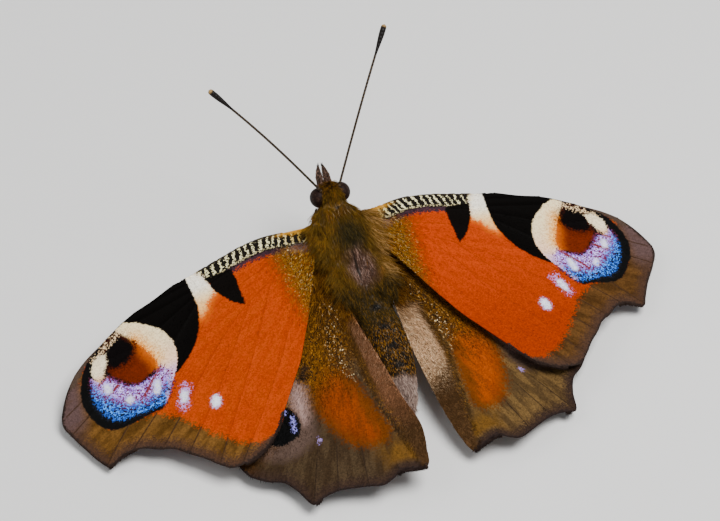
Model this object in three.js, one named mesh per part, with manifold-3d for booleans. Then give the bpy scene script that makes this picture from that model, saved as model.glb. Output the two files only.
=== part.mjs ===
// A peacock butterfly at rest with its wings spread, life size, in millimetres.
// The head points along +Y, the right wings along +X, and the feet stand on z = 0.
// Each named mesh is one part of the body. Wings are thin vanes with raised veins.
import * as THREE from 'three';
import { mergeVertices } from 'three/addons/utils/BufferGeometryUtils.js';
import Module from 'manifold-3d';

const wasm = await Module();
wasm.setup();

// Gap between parts that touch, in millimetres
const GAP = 0.3;

// Thorax: where its middle lies, how far it is pitched up, and its half sizes
const THORAX_X = 0.35;
const THORAX_Y = -0.9;
const THORAX_Z = 6.35;
const THORAX_PITCH = THREE.MathUtils.degToRad(32);
const THORAX_HALF_LENGTH = 4.4;
const THORAX_HALF_WIDTH = 3.15;
const THORAX_HALF_HEIGHT = 2.72;
const THORAX_POWER = 2.5;

// Lobes on the thorax, as out, along, above and three radii: collar, shoulder lid and shield
const COLLAR = [0.95, 3.5, 1.05, [1.0, 0.85, 0.8]];
const SHOULDER = [2.5, 1.75, 1.6, [0.85, 1.5, 0.66]];
const SHIELD = [0, -3.0, 1.6, [1.35, 1.1, 0.8]];

// Head, eyes and the small parts of the face, measured along the thorax axis and across it
const HEAD_ALONG = 5.65;
const HEAD_LIFT = 0.3;
const HEAD_HALF_WIDTH = 1.22;
const HEAD_HALF_LENGTH = 1.25;
const HEAD_HALF_HEIGHT = 1.35;
const EYE_OUT = 1.22;
const EYE_RADII = [0.92, 1.0, 1.08];
const EYE_ALONG = 0.15;
const EYE_LIFT = -0.05;
const PALP_OUT = 0.46;
const PALP_RADIUS = 0.31;
const COIL_RADIUS = 0.6;
const COIL_TURNS = 1.8;
const COIL_THICKNESS = 0.3;

// Feelers: where they leave the head, and how far each tip lies from its root
const FEELER_OUT = 0.72;
const FEELER_RADIUS = 0.25;
const CLUB_RADIUS = 0.46;
const CLUB_LENGTH = 2.6;
const FEELER_REACH_LEFT = [-8.5, 6.0, 10.96];
const FEELER_REACH_RIGHT = [7.95, 8.5, 10.55];

// Abdomen: a slightly sagging line from the waist to the tip, with nine rings
const ABDOMEN_FRONT = [-4.0, 4.75];
const ABDOMEN_TIP = [-17.8, 2.55];
const ABDOMEN_RADIUS = 2.0;
const ABDOMEN_BOW = 0.5;
const ABDOMEN_RINGS = 9;
const RING_GROOVE = 0.05;

// Wings: one curved sheet carries all four, and the hind pair lies under the fore pair
const HINGE_OUT = 2.8;
const HINGE_HEIGHT = 9.0;
const WING_PITCH = 0.185;
const WING_DROOP = 0.165;
const WING_CURL = 0.0026;
const WING_HALF_THICKNESS = 0.26;
const HIND_WING_DROP = 1.2;
const VEIN_HEIGHT = 0.16;
const VEIN_DEPTH = 0.08;
const VEIN_HALF_WIDTH = 0.36;
const STATIONS = 12;

// Pose of the wings: the hind wings are turned to the right, and the left hook reaches further
const HIND_TURN = THREE.MathUtils.degToRad(5);
const HIND_HINGE = [2.6, -2.6];
const HOOK_PLACE = [27, -12.2];
const HOOK_SPREAD = 0.7;
const HOOK_REACH = 4.5;

// Fold of each hind wing down beside the abdomen
const FOLD_WIDTH = { left: 2.2, right: 3.4 };
const FOLD_DROP = { left: 0.9, right: 1.6 };
const FOLD_CLEARANCE = 0.42;

// How far the right hind wing's inner corner is drawn forward, and the left one's inner edge is drawn in
const CORNER_DRAW = 1.1;
const EDGE_DRAW = 0.5;

// Fore wing edge, from the front of its root round the tip to the back of its root
const FORE_EDGE = [
  [1.6, 0.75], [2.8, 0.85], [4.8, 1.2], [6.9, 1.6], [9.1, 1.65], [11.7, 1.3],
  [14.4, 0.9], [16.3, 0.75], [18.6, 0.2], [21.6, -0.5], [23.9, -1.55], [26.2, -2.55],
  [28.2, -4.2], [29.3, -5.9], [29.75, -7.4], [29.1, -9.0], [28.1, -10.7], [27.2, -12.4],
  [26.6, -13.3], [25.6, -12.95], [24.6, -12.75], [23.5, -13.0], [22.4, -13.8], [21.2, -14.4],
  [20.3, -15.4], [19.1, -16.5], [18.2, -17.6], [17.1, -18.5], [15.3, -18.6], [13.5, -18.0],
  [12.0, -16.8], [11.0, -15.4], [9.3, -13.2], [8.0, -11.5], [7.0, -9.8], [6.0, -8.0],
  [5.0, -6.0], [4.1, -4.2], [3.3, -2.5], [2.6, -1.4], [1.6, -1.0],
];

// Hind wing edge, measured from its hinge, in the same order
const HIND_EDGE = [
  [-1.0, 0.8], [0.4, 0.95], [2.0, 1.0], [4.4, 0.5], [8.0, -1.2], [11.6, -4.2],
  [14.0, -8.0], [14.9, -11.3], [15.1, -13.7], [14.6, -15.4], [13.6, -16.6], [12.2, -17.6],
  [11.4, -19.0], [10.7, -20.9], [9.6, -20.7], [8.3, -20.8], [6.9, -21.2], [5.7, -21.75],
  [4.3, -22.3], [3.2, -22.15], [2.3, -21.9], [1.1, -22.25], [-0.1, -22.3], [-0.6, -20.5],
  [-0.8, -18.0], [-0.9, -15.0], [-0.8, -11.0], [-0.5, -6.5], [-0.4, -3.0], [-1.0, -0.9],
];

// Height of the fore wing's middle surface above the feet
function foreHeight(x, y) {
  const out = x - HINGE_OUT;
  return HINGE_HEIGHT + WING_PITCH * y - WING_DROOP * out - WING_CURL * out * out;
}

// Half width of the abdomen at a distance along the body
function abdomenHalfWidth(y) {
  const t = (ABDOMEN_FRONT[0] - y) / (ABDOMEN_FRONT[0] - ABDOMEN_TIP[0]);
  if (t < 0 || t > 1) return 0;
  return ABDOMEN_RADIUS * abdomenProfile(t);
}

// Sideways place of the abdomen's middle at a distance along the body
function abdomenMiddle(y) {
  const t = THREE.MathUtils.clamp((ABDOMEN_FRONT[0] - y) / (ABDOMEN_FRONT[0] - ABDOMEN_TIP[0]), 0, 1);
  return THORAX_X + ABDOMEN_BOW * Math.sin(Math.PI * t);
}

// Fullness of the abdomen from its waist, t = 0, to its tip, t = 1
function abdomenProfile(t) {
  const front = 0.88 + 0.12 * Math.sin(Math.min(t / 0.3, 1) * Math.PI / 2);
  const back = t < 0.35 ? 1 : Math.sqrt(Math.max(0, 1 - 0.91 * ((t - 0.35) / 0.65) ** 2.6));
  return front * back;
}

// A closed surface from points and triangles, as a solid
function solidFrom(points, faces) {
  const geometry = new THREE.BufferGeometry();
  geometry.setAttribute('position', new THREE.Float32BufferAttribute(points.flat(), 3));
  geometry.setIndex(faces.flat());
  return toSolid(geometry);
}

// A three.js geometry with its shared corners merged, as a solid
function toSolid(geometry) {
  const bare = geometry.clone();
  bare.deleteAttribute('normal');
  bare.deleteAttribute('uv');
  const merged = mergeVertices(bare, 1e-4);
  const triVerts = [];
  for (let i = 0; i < merged.index.count; i += 3) {
    const [a, b, c] = [merged.index.array[i], merged.index.array[i + 1], merged.index.array[i + 2]];
    if (a !== b && b !== c && c !== a) triVerts.push(a, b, c);
  }
  return new wasm.Manifold(new wasm.Mesh({
    numProp: 3,
    vertProperties: Float32Array.from(merged.attributes.position.array),
    triVerts: Uint32Array.from(triVerts),
  }));
}

// The largest closed surface of a solid, as a geometry
function toGeometry(solid) {
  const whole = solid.decompose().reduce((a, b) => (b.volume() > a.volume() ? b : a));
  const mesh = whole.getMesh();
  const geometry = new THREE.BufferGeometry();
  geometry.setAttribute('position', new THREE.BufferAttribute(mesh.vertProperties, 3));
  geometry.setIndex(new THREE.BufferAttribute(mesh.triVerts, 1));
  return geometry;
}

// A skin over a row of closed loops of equal length, closed by a point at each end
function loft(loops) {
  const count = loops[0].length;
  const points = loops.flat();
  const faces = [];
  for (let i = 0; i + 1 < loops.length; i++) {
    for (let j = 0; j < count; j++) {
      const a = i * count + j;
      const b = i * count + (j + 1) % count;
      faces.push([a, b, b + count], [a, b + count, a + count]);
    }
  }
  [0, loops.length - 1].forEach((end) => {
    const middle = new THREE.Vector3();
    loops[end].forEach((p) => middle.add(new THREE.Vector3(...p).divideScalar(count)));
    const hub = points.push(middle.toArray()) - 1;
    for (let j = 0; j < count; j++) {
      const a = end * count + j;
      const b = end * count + (j + 1) % count;
      faces.push(end === 0 ? [hub, b, a] : [hub, a, b]);
    }
  });
  const solid = solidFrom(points, faces);
  return solid.volume() < 0 ? solidFrom(points, faces.map(([a, b, c]) => [a, c, b])) : solid;
}

// A point given by its distance along the thorax axis, above it and out to one side
function fromThorax(out, along, lift) {
  const c = Math.cos(THORAX_PITCH);
  const s = Math.sin(THORAX_PITCH);
  return [THORAX_X + out, THORAX_Y + along * c - lift * s, THORAX_Z + along * s + lift * c];
}

// A point of the head, measured from the head's middle
function fromHead(out, along, lift) {
  return fromThorax(out, HEAD_ALONG + along, HEAD_LIFT + lift);
}

// An oval with squared shoulders, as a loop of points in a plane
function ovalLoop(count, halfWidth, halfHeight, power, place) {
  const loop = [];
  for (let j = 0; j < count; j++) {
    const a = 2 * Math.PI * j / count;
    const c = Math.cos(a);
    const s = Math.sin(a);
    const u = halfWidth * Math.sign(c) * Math.abs(c) ** (2 / power);
    const v = halfHeight * Math.sign(s) * Math.abs(s) ** (2 / power);
    loop.push(place(u, v));
  }
  return loop;
}

// The smooth barrel of the thorax, or the same shape grown outwards by a margin
function barrelSolid(margin) {
  const fullness = [0.58, 0.74, 0.87, 0.95, 1, 1, 0.95, 0.85, 0.71, 0.5];
  const loops = fullness.map((f, i) => {
    const along = (THORAX_HALF_LENGTH + margin) * (2 * i / (fullness.length - 1) - 1);
    return ovalLoop(28, THORAX_HALF_WIDTH * f + margin, THORAX_HALF_HEIGHT * f + margin,
      THORAX_POWER, (u, v) => fromThorax(u, along, v));
  });
  return loft(loops);
}

// An egg whose middle is given from the thorax, grown by a margin
function eggSolid(middle, radii, margin) {
  const ball = new THREE.SphereGeometry(1, 20, 14);
  ball.scale(radii[0] + margin, radii[1] + margin, radii[2] + margin);
  ball.rotateX(THORAX_PITCH);
  ball.translate(...middle);
  return toSolid(ball);
}

// The thorax with its lobes, or the same shape grown outwards by a margin
function thoraxSolid(margin) {
  const lobe = ([out, along, lift, radii], side) => {
    return eggSolid(fromThorax(side * out, along, lift), radii, margin);
  };
  return [lobe(COLLAR, -1), lobe(COLLAR, 1), lobe(SHOULDER, -1), lobe(SHOULDER, 1), lobe(SHIELD, 1)]
    .reduce((whole, piece) => whole.add(piece), barrelSolid(margin));
}

// The abdomen, with a shallow groove between its rings
function abdomenSolid() {
  const loops = [];
  const steps = ABDOMEN_RINGS * 3;
  for (let i = 0; i <= steps; i++) {
    const t = i / steps;
    const groove = i % 3 === 0 && i > 0 && i < steps ? 1 - RING_GROOVE : 1;
    const radius = ABDOMEN_RADIUS * abdomenProfile(t) * groove;
    const y = THREE.MathUtils.lerp(ABDOMEN_FRONT[0], ABDOMEN_TIP[0], t);
    const z = THREE.MathUtils.lerp(ABDOMEN_FRONT[1], ABDOMEN_TIP[1], t) + 0.35 * Math.sin(Math.PI * t);
    const x = abdomenMiddle(y);
    loops.push(ovalLoop(22, radius, radius * 0.95, 2.1, (u, v) => [x + u, y + 0.14 * v, z + v]));
  }
  return loft(loops);
}

// An eye on one side, or the same shape grown by a margin
function eyeSolid(side, margin) {
  return eggSolid(fromHead(side * EYE_OUT, EYE_ALONG, EYE_LIFT), EYE_RADII, margin);
}

const headRadii = [HEAD_HALF_WIDTH, HEAD_HALF_LENGTH, HEAD_HALF_HEIGHT];
const thoraxGrown = thoraxSolid(GAP);
const headGrown = eggSolid(fromHead(0, 0, 0), headRadii, GAP);

// A round limb along a path of points, each with its own radius, flattened where it meets the floor
function limb(path, radii, sides, samples) {
  const curve = new THREE.CatmullRomCurve3(path.map((p) => new THREE.Vector3(...p)), false, 'centripetal');
  const loops = [];
  const side = new THREE.Vector3(1, 0, 0);
  for (let i = 0; i <= samples; i++) {
    const t = i / samples;
    const middle = curve.getPoint(t);
    const ahead = curve.getTangent(t);
    const place = t * (radii.length - 1);
    const step = Math.min(Math.floor(place), radii.length - 2);
    const radius = THREE.MathUtils.lerp(radii[step], radii[step + 1], place - step);
    side.addScaledVector(ahead, -side.dot(ahead)).normalize();
    const up = new THREE.Vector3().crossVectors(ahead, side);
    loops.push(Array.from({ length: sides }, (_, j) => {
      const a = 2 * Math.PI * j / sides;
      const p = middle.clone()
        .addScaledVector(side, radius * Math.cos(a))
        .addScaledVector(up, radius * Math.sin(a));
      return [p.x, p.y, Math.max(p.z, 0)];
    }));
  }
  return loft(loops);
}

// A feeler: a thin stalk with a long club
function feelerSolid(side, reach) {
  const root = fromHead(side * FEELER_OUT, 0.3, 0.75);
  const tip = new THREE.Vector3(...root).add(new THREE.Vector3(...reach));
  const path = [0, 0.3, 0.65, 1].map((t) => {
    const p = new THREE.Vector3(...root).lerp(tip, t);
    p.z += 0.5 * Math.sin(Math.PI * t);
    return p.toArray();
  });
  const length = new THREE.Vector3(...reach).length();
  const samples = 26;
  const radii = Array.from({ length: samples + 1 }, (_, i) => {
    const back = (1 - i / samples) * length;
    if (back > CLUB_LENGTH) return i < 2 ? FEELER_RADIUS * 1.35 : FEELER_RADIUS;
    const t = back / CLUB_LENGTH;
    return FEELER_RADIUS + (CLUB_RADIUS - FEELER_RADIUS) * Math.sin(Math.PI * Math.min(1, t * 1.25) ** 0.8)
      - (t < 0.05 ? 0.1 : 0);
  });
  return limb(path, radii, 8, samples).subtract(headGrown).subtract(eyeSolid(side, GAP / 2));
}

// A palp: a plump finger of the face that reaches forward in front of it
function palpSolid(side) {
  const path = [
    fromHead(side * PALP_OUT, 0.7, -0.7),
    fromHead(side * (PALP_OUT + 0.04), 1.5, -0.55),
    fromHead(side * PALP_OUT, 2.2, -0.05),
    fromHead(side * (PALP_OUT - 0.16), 3.05, 0.5),
  ];
  const radii = [0.8, 1, 1.12, 1.05, 0.85, 0.6, 0.3].map((f) => f * PALP_RADIUS);
  return limb(path, radii, 10, 13).subtract(headGrown);
}

// The tongue: a flat coil under the head, between the palps
function tongueSolid() {
  const path = [];
  for (let i = 0; i <= 22; i++) {
    const a = COIL_TURNS * 2 * Math.PI * i / 22;
    const radius = COIL_RADIUS - (COIL_RADIUS - 0.14) * i / 22;
    path.push(fromHead(0, 1.3 - radius * Math.cos(a), -1.85 - radius * Math.sin(a)));
  }
  path.unshift(fromHead(0, 0.55, -1.15));
  return limb(path, [COIL_THICKNESS / 2, COIL_THICKNESS / 2, 0.1], 6, 44).subtract(headGrown);
}

// Where a leg's joints lie, out from the middle, along the body and above the floor
const FOOT_RADIUS = 0.25;
const LEG_RADII = [0.42, 0.38, 0.3, 0.27, FOOT_RADIUS, FOOT_RADIUS, 0.2];
const FORE_LEG = [[0.8, 1.9, 6.0], [1.15, 2.8, 4.9], [1.25, 3.7, 4.9], [1.1, 4.3, 6.0], [0.9, 4.5, 6.9]];
const MID_LEG = [[1.2, 0.6, 4.6], [2.5, 2.0, 5.2], [3.8, 3.1, 5.2], [4.5, 3.8, 3.0],
  [4.9, 4.2, 0.6], [5.3, 4.7, 0.2], [6.1, 5.9, 0.2]];
const HIND_LEG = [[1.3, -1.4, 3.9], [2.9, -3.2, 4.3], [4.5, -4.9, 4.3], [5.3, -6.9, 2.4],
  [5.9, -8.6, 0.6], [6.2, -9.4, 0.2], [6.9, -11.6, 0.2]];

// A leg along its joints: a stouter thigh, a thinner shank and a foot flat on the floor
function legSolid(side, joints, radii) {
  return limb(joints.map(([x, y, z]) => [THORAX_X + side * x, y, z]), radii, 8, 24).subtract(thoraxGrown);
}

// Smooth row of points through marks of the form station, x, y
function trace(marks, from) {
  const row = [];
  const slope = (i) => {
    const a = marks[Math.max(i - 1, 0)];
    const b = marks[Math.min(i + 1, marks.length - 1)];
    return [(b[1] - a[1]) / (b[0] - a[0]), (b[2] - a[2]) / (b[0] - a[0])];
  };
  for (let k = from; k <= STATIONS; k++) {
    const i = Math.min(marks.findLastIndex((m) => m[0] <= k), marks.length - 2);
    const span = marks[i + 1][0] - marks[i][0];
    const t = (k - marks[i][0]) / span;
    const [s0, s1] = [slope(i), slope(i + 1)];
    const h = [
      2 * t ** 3 - 3 * t ** 2 + 1, t ** 3 - 2 * t ** 2 + t,
      -2 * t ** 3 + 3 * t ** 2, t ** 3 - t ** 2,
    ];
    row[k] = [1, 2].map((n) => h[0] * marks[i][n] + h[1] * span * s0[n - 1]
      + h[2] * marks[i + 1][n] + h[3] * span * s1[n - 1]);
  }
  return row;
}

// A vein that leaves a stem at a station and runs by its own marks to the edge
function branch(stem, station, marks) {
  const start = [station, ...stem[station]];
  return [...stem.slice(0, station), ...trace([start, ...marks], station).slice(station)];
}

// Fore wing veins, each a row of points from the root to the edge
function foreVeins() {
  const n = STATIONS;
  const radius = trace([[0, 1.6, 0.25], [2, 5.0, 0.35], [5, 13.3, -0.75], [n, 29.6, -8.0]], 0);
  const cubitus = trace([[0, 1.6, -0.45], [2, 5.2, -1.7], [5, 12.3, -5.2], [n, 22.0, -13.8]], 0);
  const radialFork = branch(radius, 5, [[7, 18.6, -2.6], [n, 29.4, -6.9]]);
  return [
    { row: trace([[0, 1.6, 0.5], [3, 7.4, 1.15], [6, 12.6, 0.75], [n, 16.2, 0.75]], 0), rise: 1 },
    { row: branch(radius, 3, [[6, 13.4, 0.25], [n, 20.4, -0.2]]), rise: 1 },
    { row: branch(radius, 4, [[7, 16.6, -0.8], [n, 23.6, -1.45]]), rise: 1 },
    { row: branch(radialFork, 8, [[10, 24.6, -3.4], [n, 27.4, -3.4]]), rise: 1 },
    { row: radialFork, rise: 1 },
    { row: branch(radialFork, 7, [[9, 22.9, -5.6], [n, 29.2, -8.8]]), rise: 1 },
    { row: branch(radius, 5, [[8, 19.5, -5.9], [n, 26.8, -13.1]]), rise: 1 },
    {
      row: trace([[0, 1.6, -0.1], [2, 5.1, -0.7], [5, 13.2, -3.0], [8, 18.2, -7.6], [n, 24.4, -12.8]], 0),
      rise: 0,
    },
    { row: cubitus, rise: 1 },
    { row: branch(cubitus, 4, [[8, 15.2, -10.2], [n, 20.2, -15.4]]), rise: 1 },
    { row: branch(cubitus, 3, [[7, 11.9, -9.3], [n, 18.1, -17.7]]), rise: 1 },
    { row: trace([[0, 1.6, -0.75], [3, 4.6, -3.4], [7, 10.1, -11.3], [n, 16.2, -18.6]], 0), rise: 1 },
  ];
}

// Hind wing veins, measured from its hinge
function hindVeins() {
  const n = STATIONS;
  const radius = trace([[0, -1.0, 0.2], [2, 1.8, -1.6], [5, 6.4, -6.2], [n, 15.0, -14.0]], 0);
  const cubitus = trace([[0, -1.0, -0.25], [2, 0.9, -2.9], [5, 3.9, -8.6], [n, 10.7, -20.9]], 0);
  return [
    { row: trace([[0, -1.0, 0.5], [3, 3.6, -1.0], [7, 9.6, -4.6], [n, 14.8, -10.6]], 0), rise: 1 },
    { row: branch(radius, 4, [[8, 11.0, -9.2], [n, 15.1, -13.7]]), rise: 1 },
    { row: branch(radius, 5, [[8, 10.1, -11.0], [n, 13.9, -16.3]]), rise: 1 },
    {
      row: trace([[0, -1.0, 0], [2, 1.4, -2.2], [5, 5.2, -8.0], [8, 8.6, -12.5], [n, 12.1, -17.7]], 0),
      rise: 0,
    },
    { row: cubitus, rise: 1 },
    { row: branch(cubitus, 4, [[8, 5.6, -14.6], [n, 8.2, -20.8]]), rise: 1 },
    { row: branch(cubitus, 3, [[7, 3.4, -13.4], [n, 5.6, -21.8]]), rise: 1 },
    { row: trace([[0, -1.0, -0.5], [3, 0.5, -5.4], [7, 1.3, -13.0], [n, 2.6, -22.0]], 0), rise: 1 },
  ];
}

// The wing edge as a smooth curve
function edgeCurve(points) {
  const marks = points.map(([x, y]) => new THREE.Vector3(x, y, 0));
  return new THREE.CatmullRomCurve3(marks, false, 'centripetal');
}

// Where along the edge curve the point nearest to a place lies
function nearestOnEdge(curve, place) {
  let best = 0;
  let shortest = Infinity;
  for (let i = 0; i <= 2000; i++) {
    const p = curve.getPoint(i / 2000);
    const gap = Math.hypot(p.x - place[0], p.y - place[1]);
    if (gap < shortest) {
      shortest = gap;
      best = i / 2000;
    }
  }
  return best;
}

// The wing as a net of columns from root to edge: a crest on each vein, its two feet and a middle
function wingNet(edge, veins) {
  const curve = edgeCurve(edge);
  const ends = veins.map((v) => nearestOnEdge(curve, v.row[STATIONS]));
  const at = (t) => curve.getPoint(t).toArray().slice(0, 2);
  const paced = (k) => (k / STATIONS) ** 1.0;
  const front = { row: [], rise: 1 };
  const back = { row: [], rise: 0 };
  const [frontEnd, backEnd] = [ends[0] * 0.93, 1 - (1 - ends.at(-1)) * 0.93];
  for (let k = 0; k <= STATIONS; k++) {
    front.row[k] = at(frontEnd * paced(k));
    back.row[k] = at(1 - (1 - backEnd) * paced(k));
  }
  const ribs = [front, ...veins, back];
  const stops = [frontEnd, ...ends, backEnd];
  const columns = [];
  ribs.forEach((rib, i) => {
    columns.push(rib.row.map((p, k) => (k === STATIONS ? [...at(stops[i]), rib.rise] : [...p, rib.rise])));
    const next = ribs[i + 1];
    if (!next) return;
    const tip = Math.hypot(...at(stops[i]).map((v, n) => v - at(stops[i + 1])[n]));
    [0, 0.5, 1].forEach((place) => {
      columns.push(rib.row.map((p, k) => {
        const q = next.row[k];
        const width = k === STATIONS ? tip : Math.hypot(q[0] - p[0], q[1] - p[1]);
        const foot = width > 0 ? Math.min(0.3, VEIN_HALF_WIDTH / width) : 0;
        const w = place === 0.5 ? 0.5 : (place ? 1 - foot : foot);
        const near = Math.min(w, 1 - w) * width;
        const rise = (w < 0.5 || (w === 0.5 && rib.rise) ? rib.rise : next.rise)
          * Math.max(0, 1 - near / VEIN_HALF_WIDTH);
        if (k === STATIONS) return [...at(stops[i] + (stops[i + 1] - stops[i]) * w), rise];
        return [p[0] + (q[0] - p[0]) * w, p[1] + (q[1] - p[1]) * w, rise];
      }));
    });
  });
  return columns;
}

// A wing sheet from its net, its mapping to the body, and its height
function wingSolid(columns, side, place) {
  const points = [];
  const faces = [];
  const rows = STATIONS + 1;
  [1, -1].forEach((face) => columns.forEach((column) => column.forEach(([u, v, rise]) => {
    const [x, y, z] = place(u, v);
    const ridge = rise * (face > 0 ? VEIN_HEIGHT : VEIN_DEPTH);
    points.push([side * x, y, z + face * (WING_HALF_THICKNESS + ridge)]);
  })));
  const below = columns.length * rows;
  const quad = (a, b, c, d) => faces.push([a, b, c], [a, c, d]);
  for (let i = 0; i + 1 < columns.length; i++) {
    for (let k = 0; k + 1 < rows; k++) {
      const a = i * rows + k;
      const b = a + rows;
      faces.push([a, a + 1, b + 1], [a, b + 1, b]);
      faces.push([below + a, below + b + 1, below + a + 1], [below + a, below + b, below + b + 1]);
    }
    const root = i * rows;
    const rim = root + rows - 1;
    quad(root, root + rows, below + root + rows, below + root);
    quad(rim, below + rim, below + rim + rows, rim + rows);
  }
  for (let k = 0; k + 1 < rows; k++) {
    const last = (columns.length - 1) * rows + k;
    quad(k, below + k, below + k + 1, k + 1);
    quad(last, last + 1, below + last + 1, below + last);
  }
  const solid = solidFrom(points, faces);
  const outward = solid.volume() < 0 ? solidFrom(points, faces.map(([a, b, c]) => [a, c, b])) : solid;
  return outward.subtract(thoraxGrown);
}

// Fore wing: the map place of a point, with the hook of each side let out or drawn in
function forePlace(side) {
  return (u, v) => {
    const near = Math.exp(-(((u - HOOK_PLACE[0]) ** 2 + (v - HOOK_PLACE[1]) ** 2) / HOOK_REACH ** 2));
    const x = u - side * HOOK_SPREAD * near;
    return [x, v, foreHeight(x, v)];
  };
}

// Hind wing: turned about its hinge, pushed clear of the abdomen, and folded down beside it
function hindPlace(side) {
  const word = side < 0 ? 'left' : 'right';
  const c = Math.cos(HIND_TURN);
  const s = side * Math.sin(HIND_TURN);
  const turn = (planU, planV) => {
    const cornerNear = Math.exp(-((planU + 0.1) ** 2 + (planV + 22.3) ** 2) / 13);
    const edgeNear = Math.exp(-((planU + 0.8) ** 2 + (planV + 18.4) ** 2) / 5);
    const u = planU - (side < 0 ? EDGE_DRAW * edgeNear : 0);
    const v = planV + (side > 0 ? CORNER_DRAW * cornerNear : 0);
    return [HIND_HINGE[0] + u * c - v * s, HIND_HINGE[1] + u * s + v * c];
  };
  const inner = edgeCurve(HIND_EDGE.slice(-8));
  return (u, v) => {
    const fold = inner.getPoint(nearestOnEdge(inner, [u, v]));
    const away = Math.hypot(fold.x - u, fold.y - v);
    const [x, y] = turn(u, v);
    const [foldX, foldY] = turn(fold.x, fold.y);
    const limit = abdomenHalfWidth(foldY) + FOLD_CLEARANCE + side * abdomenMiddle(foldY);
    const push = foldY < -6 ? Math.max(0, limit - foldX) * Math.max(0, 1 - away / 6) : 0;
    const drop = FOLD_DROP[word] * Math.max(0, 1 - away / FOLD_WIDTH[word]) ** 2
      * THREE.MathUtils.smoothstep(-foldY, 5, 11);
    return [x + push, y, foreHeight(x, y) - HIND_WING_DROP - drop];
  };
}

const foreNet = wingNet(FORE_EDGE, foreVeins());
const hindNet = wingNet(HIND_EDGE, hindVeins());

// Colours, roughness and metalness of each surface
const looks = {
  fur: new THREE.MeshStandardMaterial({ color: 0x5a4630, roughness: 0.95, metalness: 0 }),
  dark: new THREE.MeshStandardMaterial({ color: 0x2b211c, roughness: 0.8, metalness: 0 }),
  eye: new THREE.MeshStandardMaterial({ color: 0x1d1210, roughness: 0.25, metalness: 0 }),
  palp: new THREE.MeshStandardMaterial({ color: 0x6b4a3c, roughness: 0.9, metalness: 0 }),
  foreWing: new THREE.MeshStandardMaterial({ color: 0xb5431f, roughness: 0.85, metalness: 0 }),
  hindWing: new THREE.MeshStandardMaterial({ color: 0x6a4436, roughness: 0.85, metalness: 0 }),
};

const butterfly = new THREE.Group();

// Adds one part under its name
function add(name, solid, look) {
  const mesh = new THREE.Mesh(toGeometry(solid), looks[look].clone());
  mesh.name = name;
  butterfly.add(mesh);
}

add('thorax', thoraxSolid(0), 'fur');
add('abdomen', abdomenSolid().subtract(thoraxGrown), 'fur');
add('head', eggSolid(fromHead(0, 0, 0), headRadii, 0).subtract(thoraxGrown), 'fur');
add('proboscis', tongueSolid(), 'dark');

[[-1, 'left', FEELER_REACH_LEFT], [1, 'right', FEELER_REACH_RIGHT]].forEach(([side, word, reach]) => {
  add(`eye_${word}`, eyeSolid(side, 0).subtract(headGrown), 'eye');
  add(`antenna_${word}`, feelerSolid(side, reach), 'dark');
  add(`palp_${word}`, palpSolid(side), 'palp');
  add(`forewing_${word}`, wingSolid(foreNet, side, forePlace(side)), 'foreWing');
  add(`hindwing_${word}`, wingSolid(hindNet, side, hindPlace(side)), 'hindWing');
  add(`foreleg_${word}`, legSolid(side, FORE_LEG, [0.32, 0.3, 0.28, 0.26, 0.14]), 'dark');
  add(`midleg_${word}`, legSolid(side, MID_LEG, LEG_RADII), 'dark');
  add(`hindleg_${word}`, legSolid(side, HIND_LEG, LEG_RADII), 'dark');
});

// The group's origin lies under the middle of the whole butterfly, on the floor
const reach = new THREE.Box3().setFromObject(butterfly);
butterfly.position.set(-(reach.min.x + reach.max.x) / 2, -(reach.min.y + reach.max.y) / 2, -reach.min.z);

const group = new THREE.Group();
group.add(butterfly);

export default group;
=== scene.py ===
# A life-size model of a peacock butterfly, standing with its wings spread flat.
# The frame carries its solid parts; the pieces below dress them with skin, scales and hair.
import math
import bpy
import numpy as np
from mathutils import Matrix, Vector


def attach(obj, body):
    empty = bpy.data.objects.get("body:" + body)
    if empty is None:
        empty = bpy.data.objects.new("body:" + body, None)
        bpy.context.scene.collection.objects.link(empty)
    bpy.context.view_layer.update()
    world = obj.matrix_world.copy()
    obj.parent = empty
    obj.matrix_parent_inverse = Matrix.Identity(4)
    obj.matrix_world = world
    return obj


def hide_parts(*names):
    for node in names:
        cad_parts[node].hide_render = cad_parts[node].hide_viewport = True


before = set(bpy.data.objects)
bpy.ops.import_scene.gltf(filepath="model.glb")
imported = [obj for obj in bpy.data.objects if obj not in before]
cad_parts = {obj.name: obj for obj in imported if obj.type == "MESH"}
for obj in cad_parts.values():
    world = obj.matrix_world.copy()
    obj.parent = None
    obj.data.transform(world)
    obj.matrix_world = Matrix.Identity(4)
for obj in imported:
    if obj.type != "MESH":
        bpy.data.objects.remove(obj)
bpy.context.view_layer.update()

# Setting: a plain pale floor under the feet, soft studio panels and pale air.
# The camera stands far off and high, behind the butterfly's left side.
# BODY_SHIFT carries the body's own measures, from the middle of the wing roots, into the frame.
BODY_SHIFT = Vector((0.000138, 0.006471, 0))
VIEW_RIGHT = Vector((0.935444, -0.353475, 0))
VIEW_UP = Vector((0.270777, 0.716592, 0.642788))
VIEW_BACK = Vector((-0.227209, -0.601292, 0.766044))
camera_data = bpy.data.cameras.new("camera")
camera_data.lens = 183.05
camera_data.sensor_width = 36
camera_data.clip_start = 0.01
camera = bpy.data.objects.new("camera", camera_data)
bpy.context.scene.collection.objects.link(camera)
camera.location = BODY_SHIFT + (2.0618 * VIEW_RIGHT + 2.6455 * VIEW_UP + 350 * VIEW_BACK) / 1000
camera.rotation_mode = "QUATERNION"
camera.rotation_quaternion = Matrix((VIEW_RIGHT, VIEW_UP, VIEW_BACK)).transposed().to_quaternion()
bpy.context.scene.camera = camera


def new_look(name):
    """A new material, with its node tree and its shader."""
    made = bpy.data.materials.new(name)
    made.use_nodes = True
    return made, made.node_tree, made.node_tree.nodes["Principled BSDF"]


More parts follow.
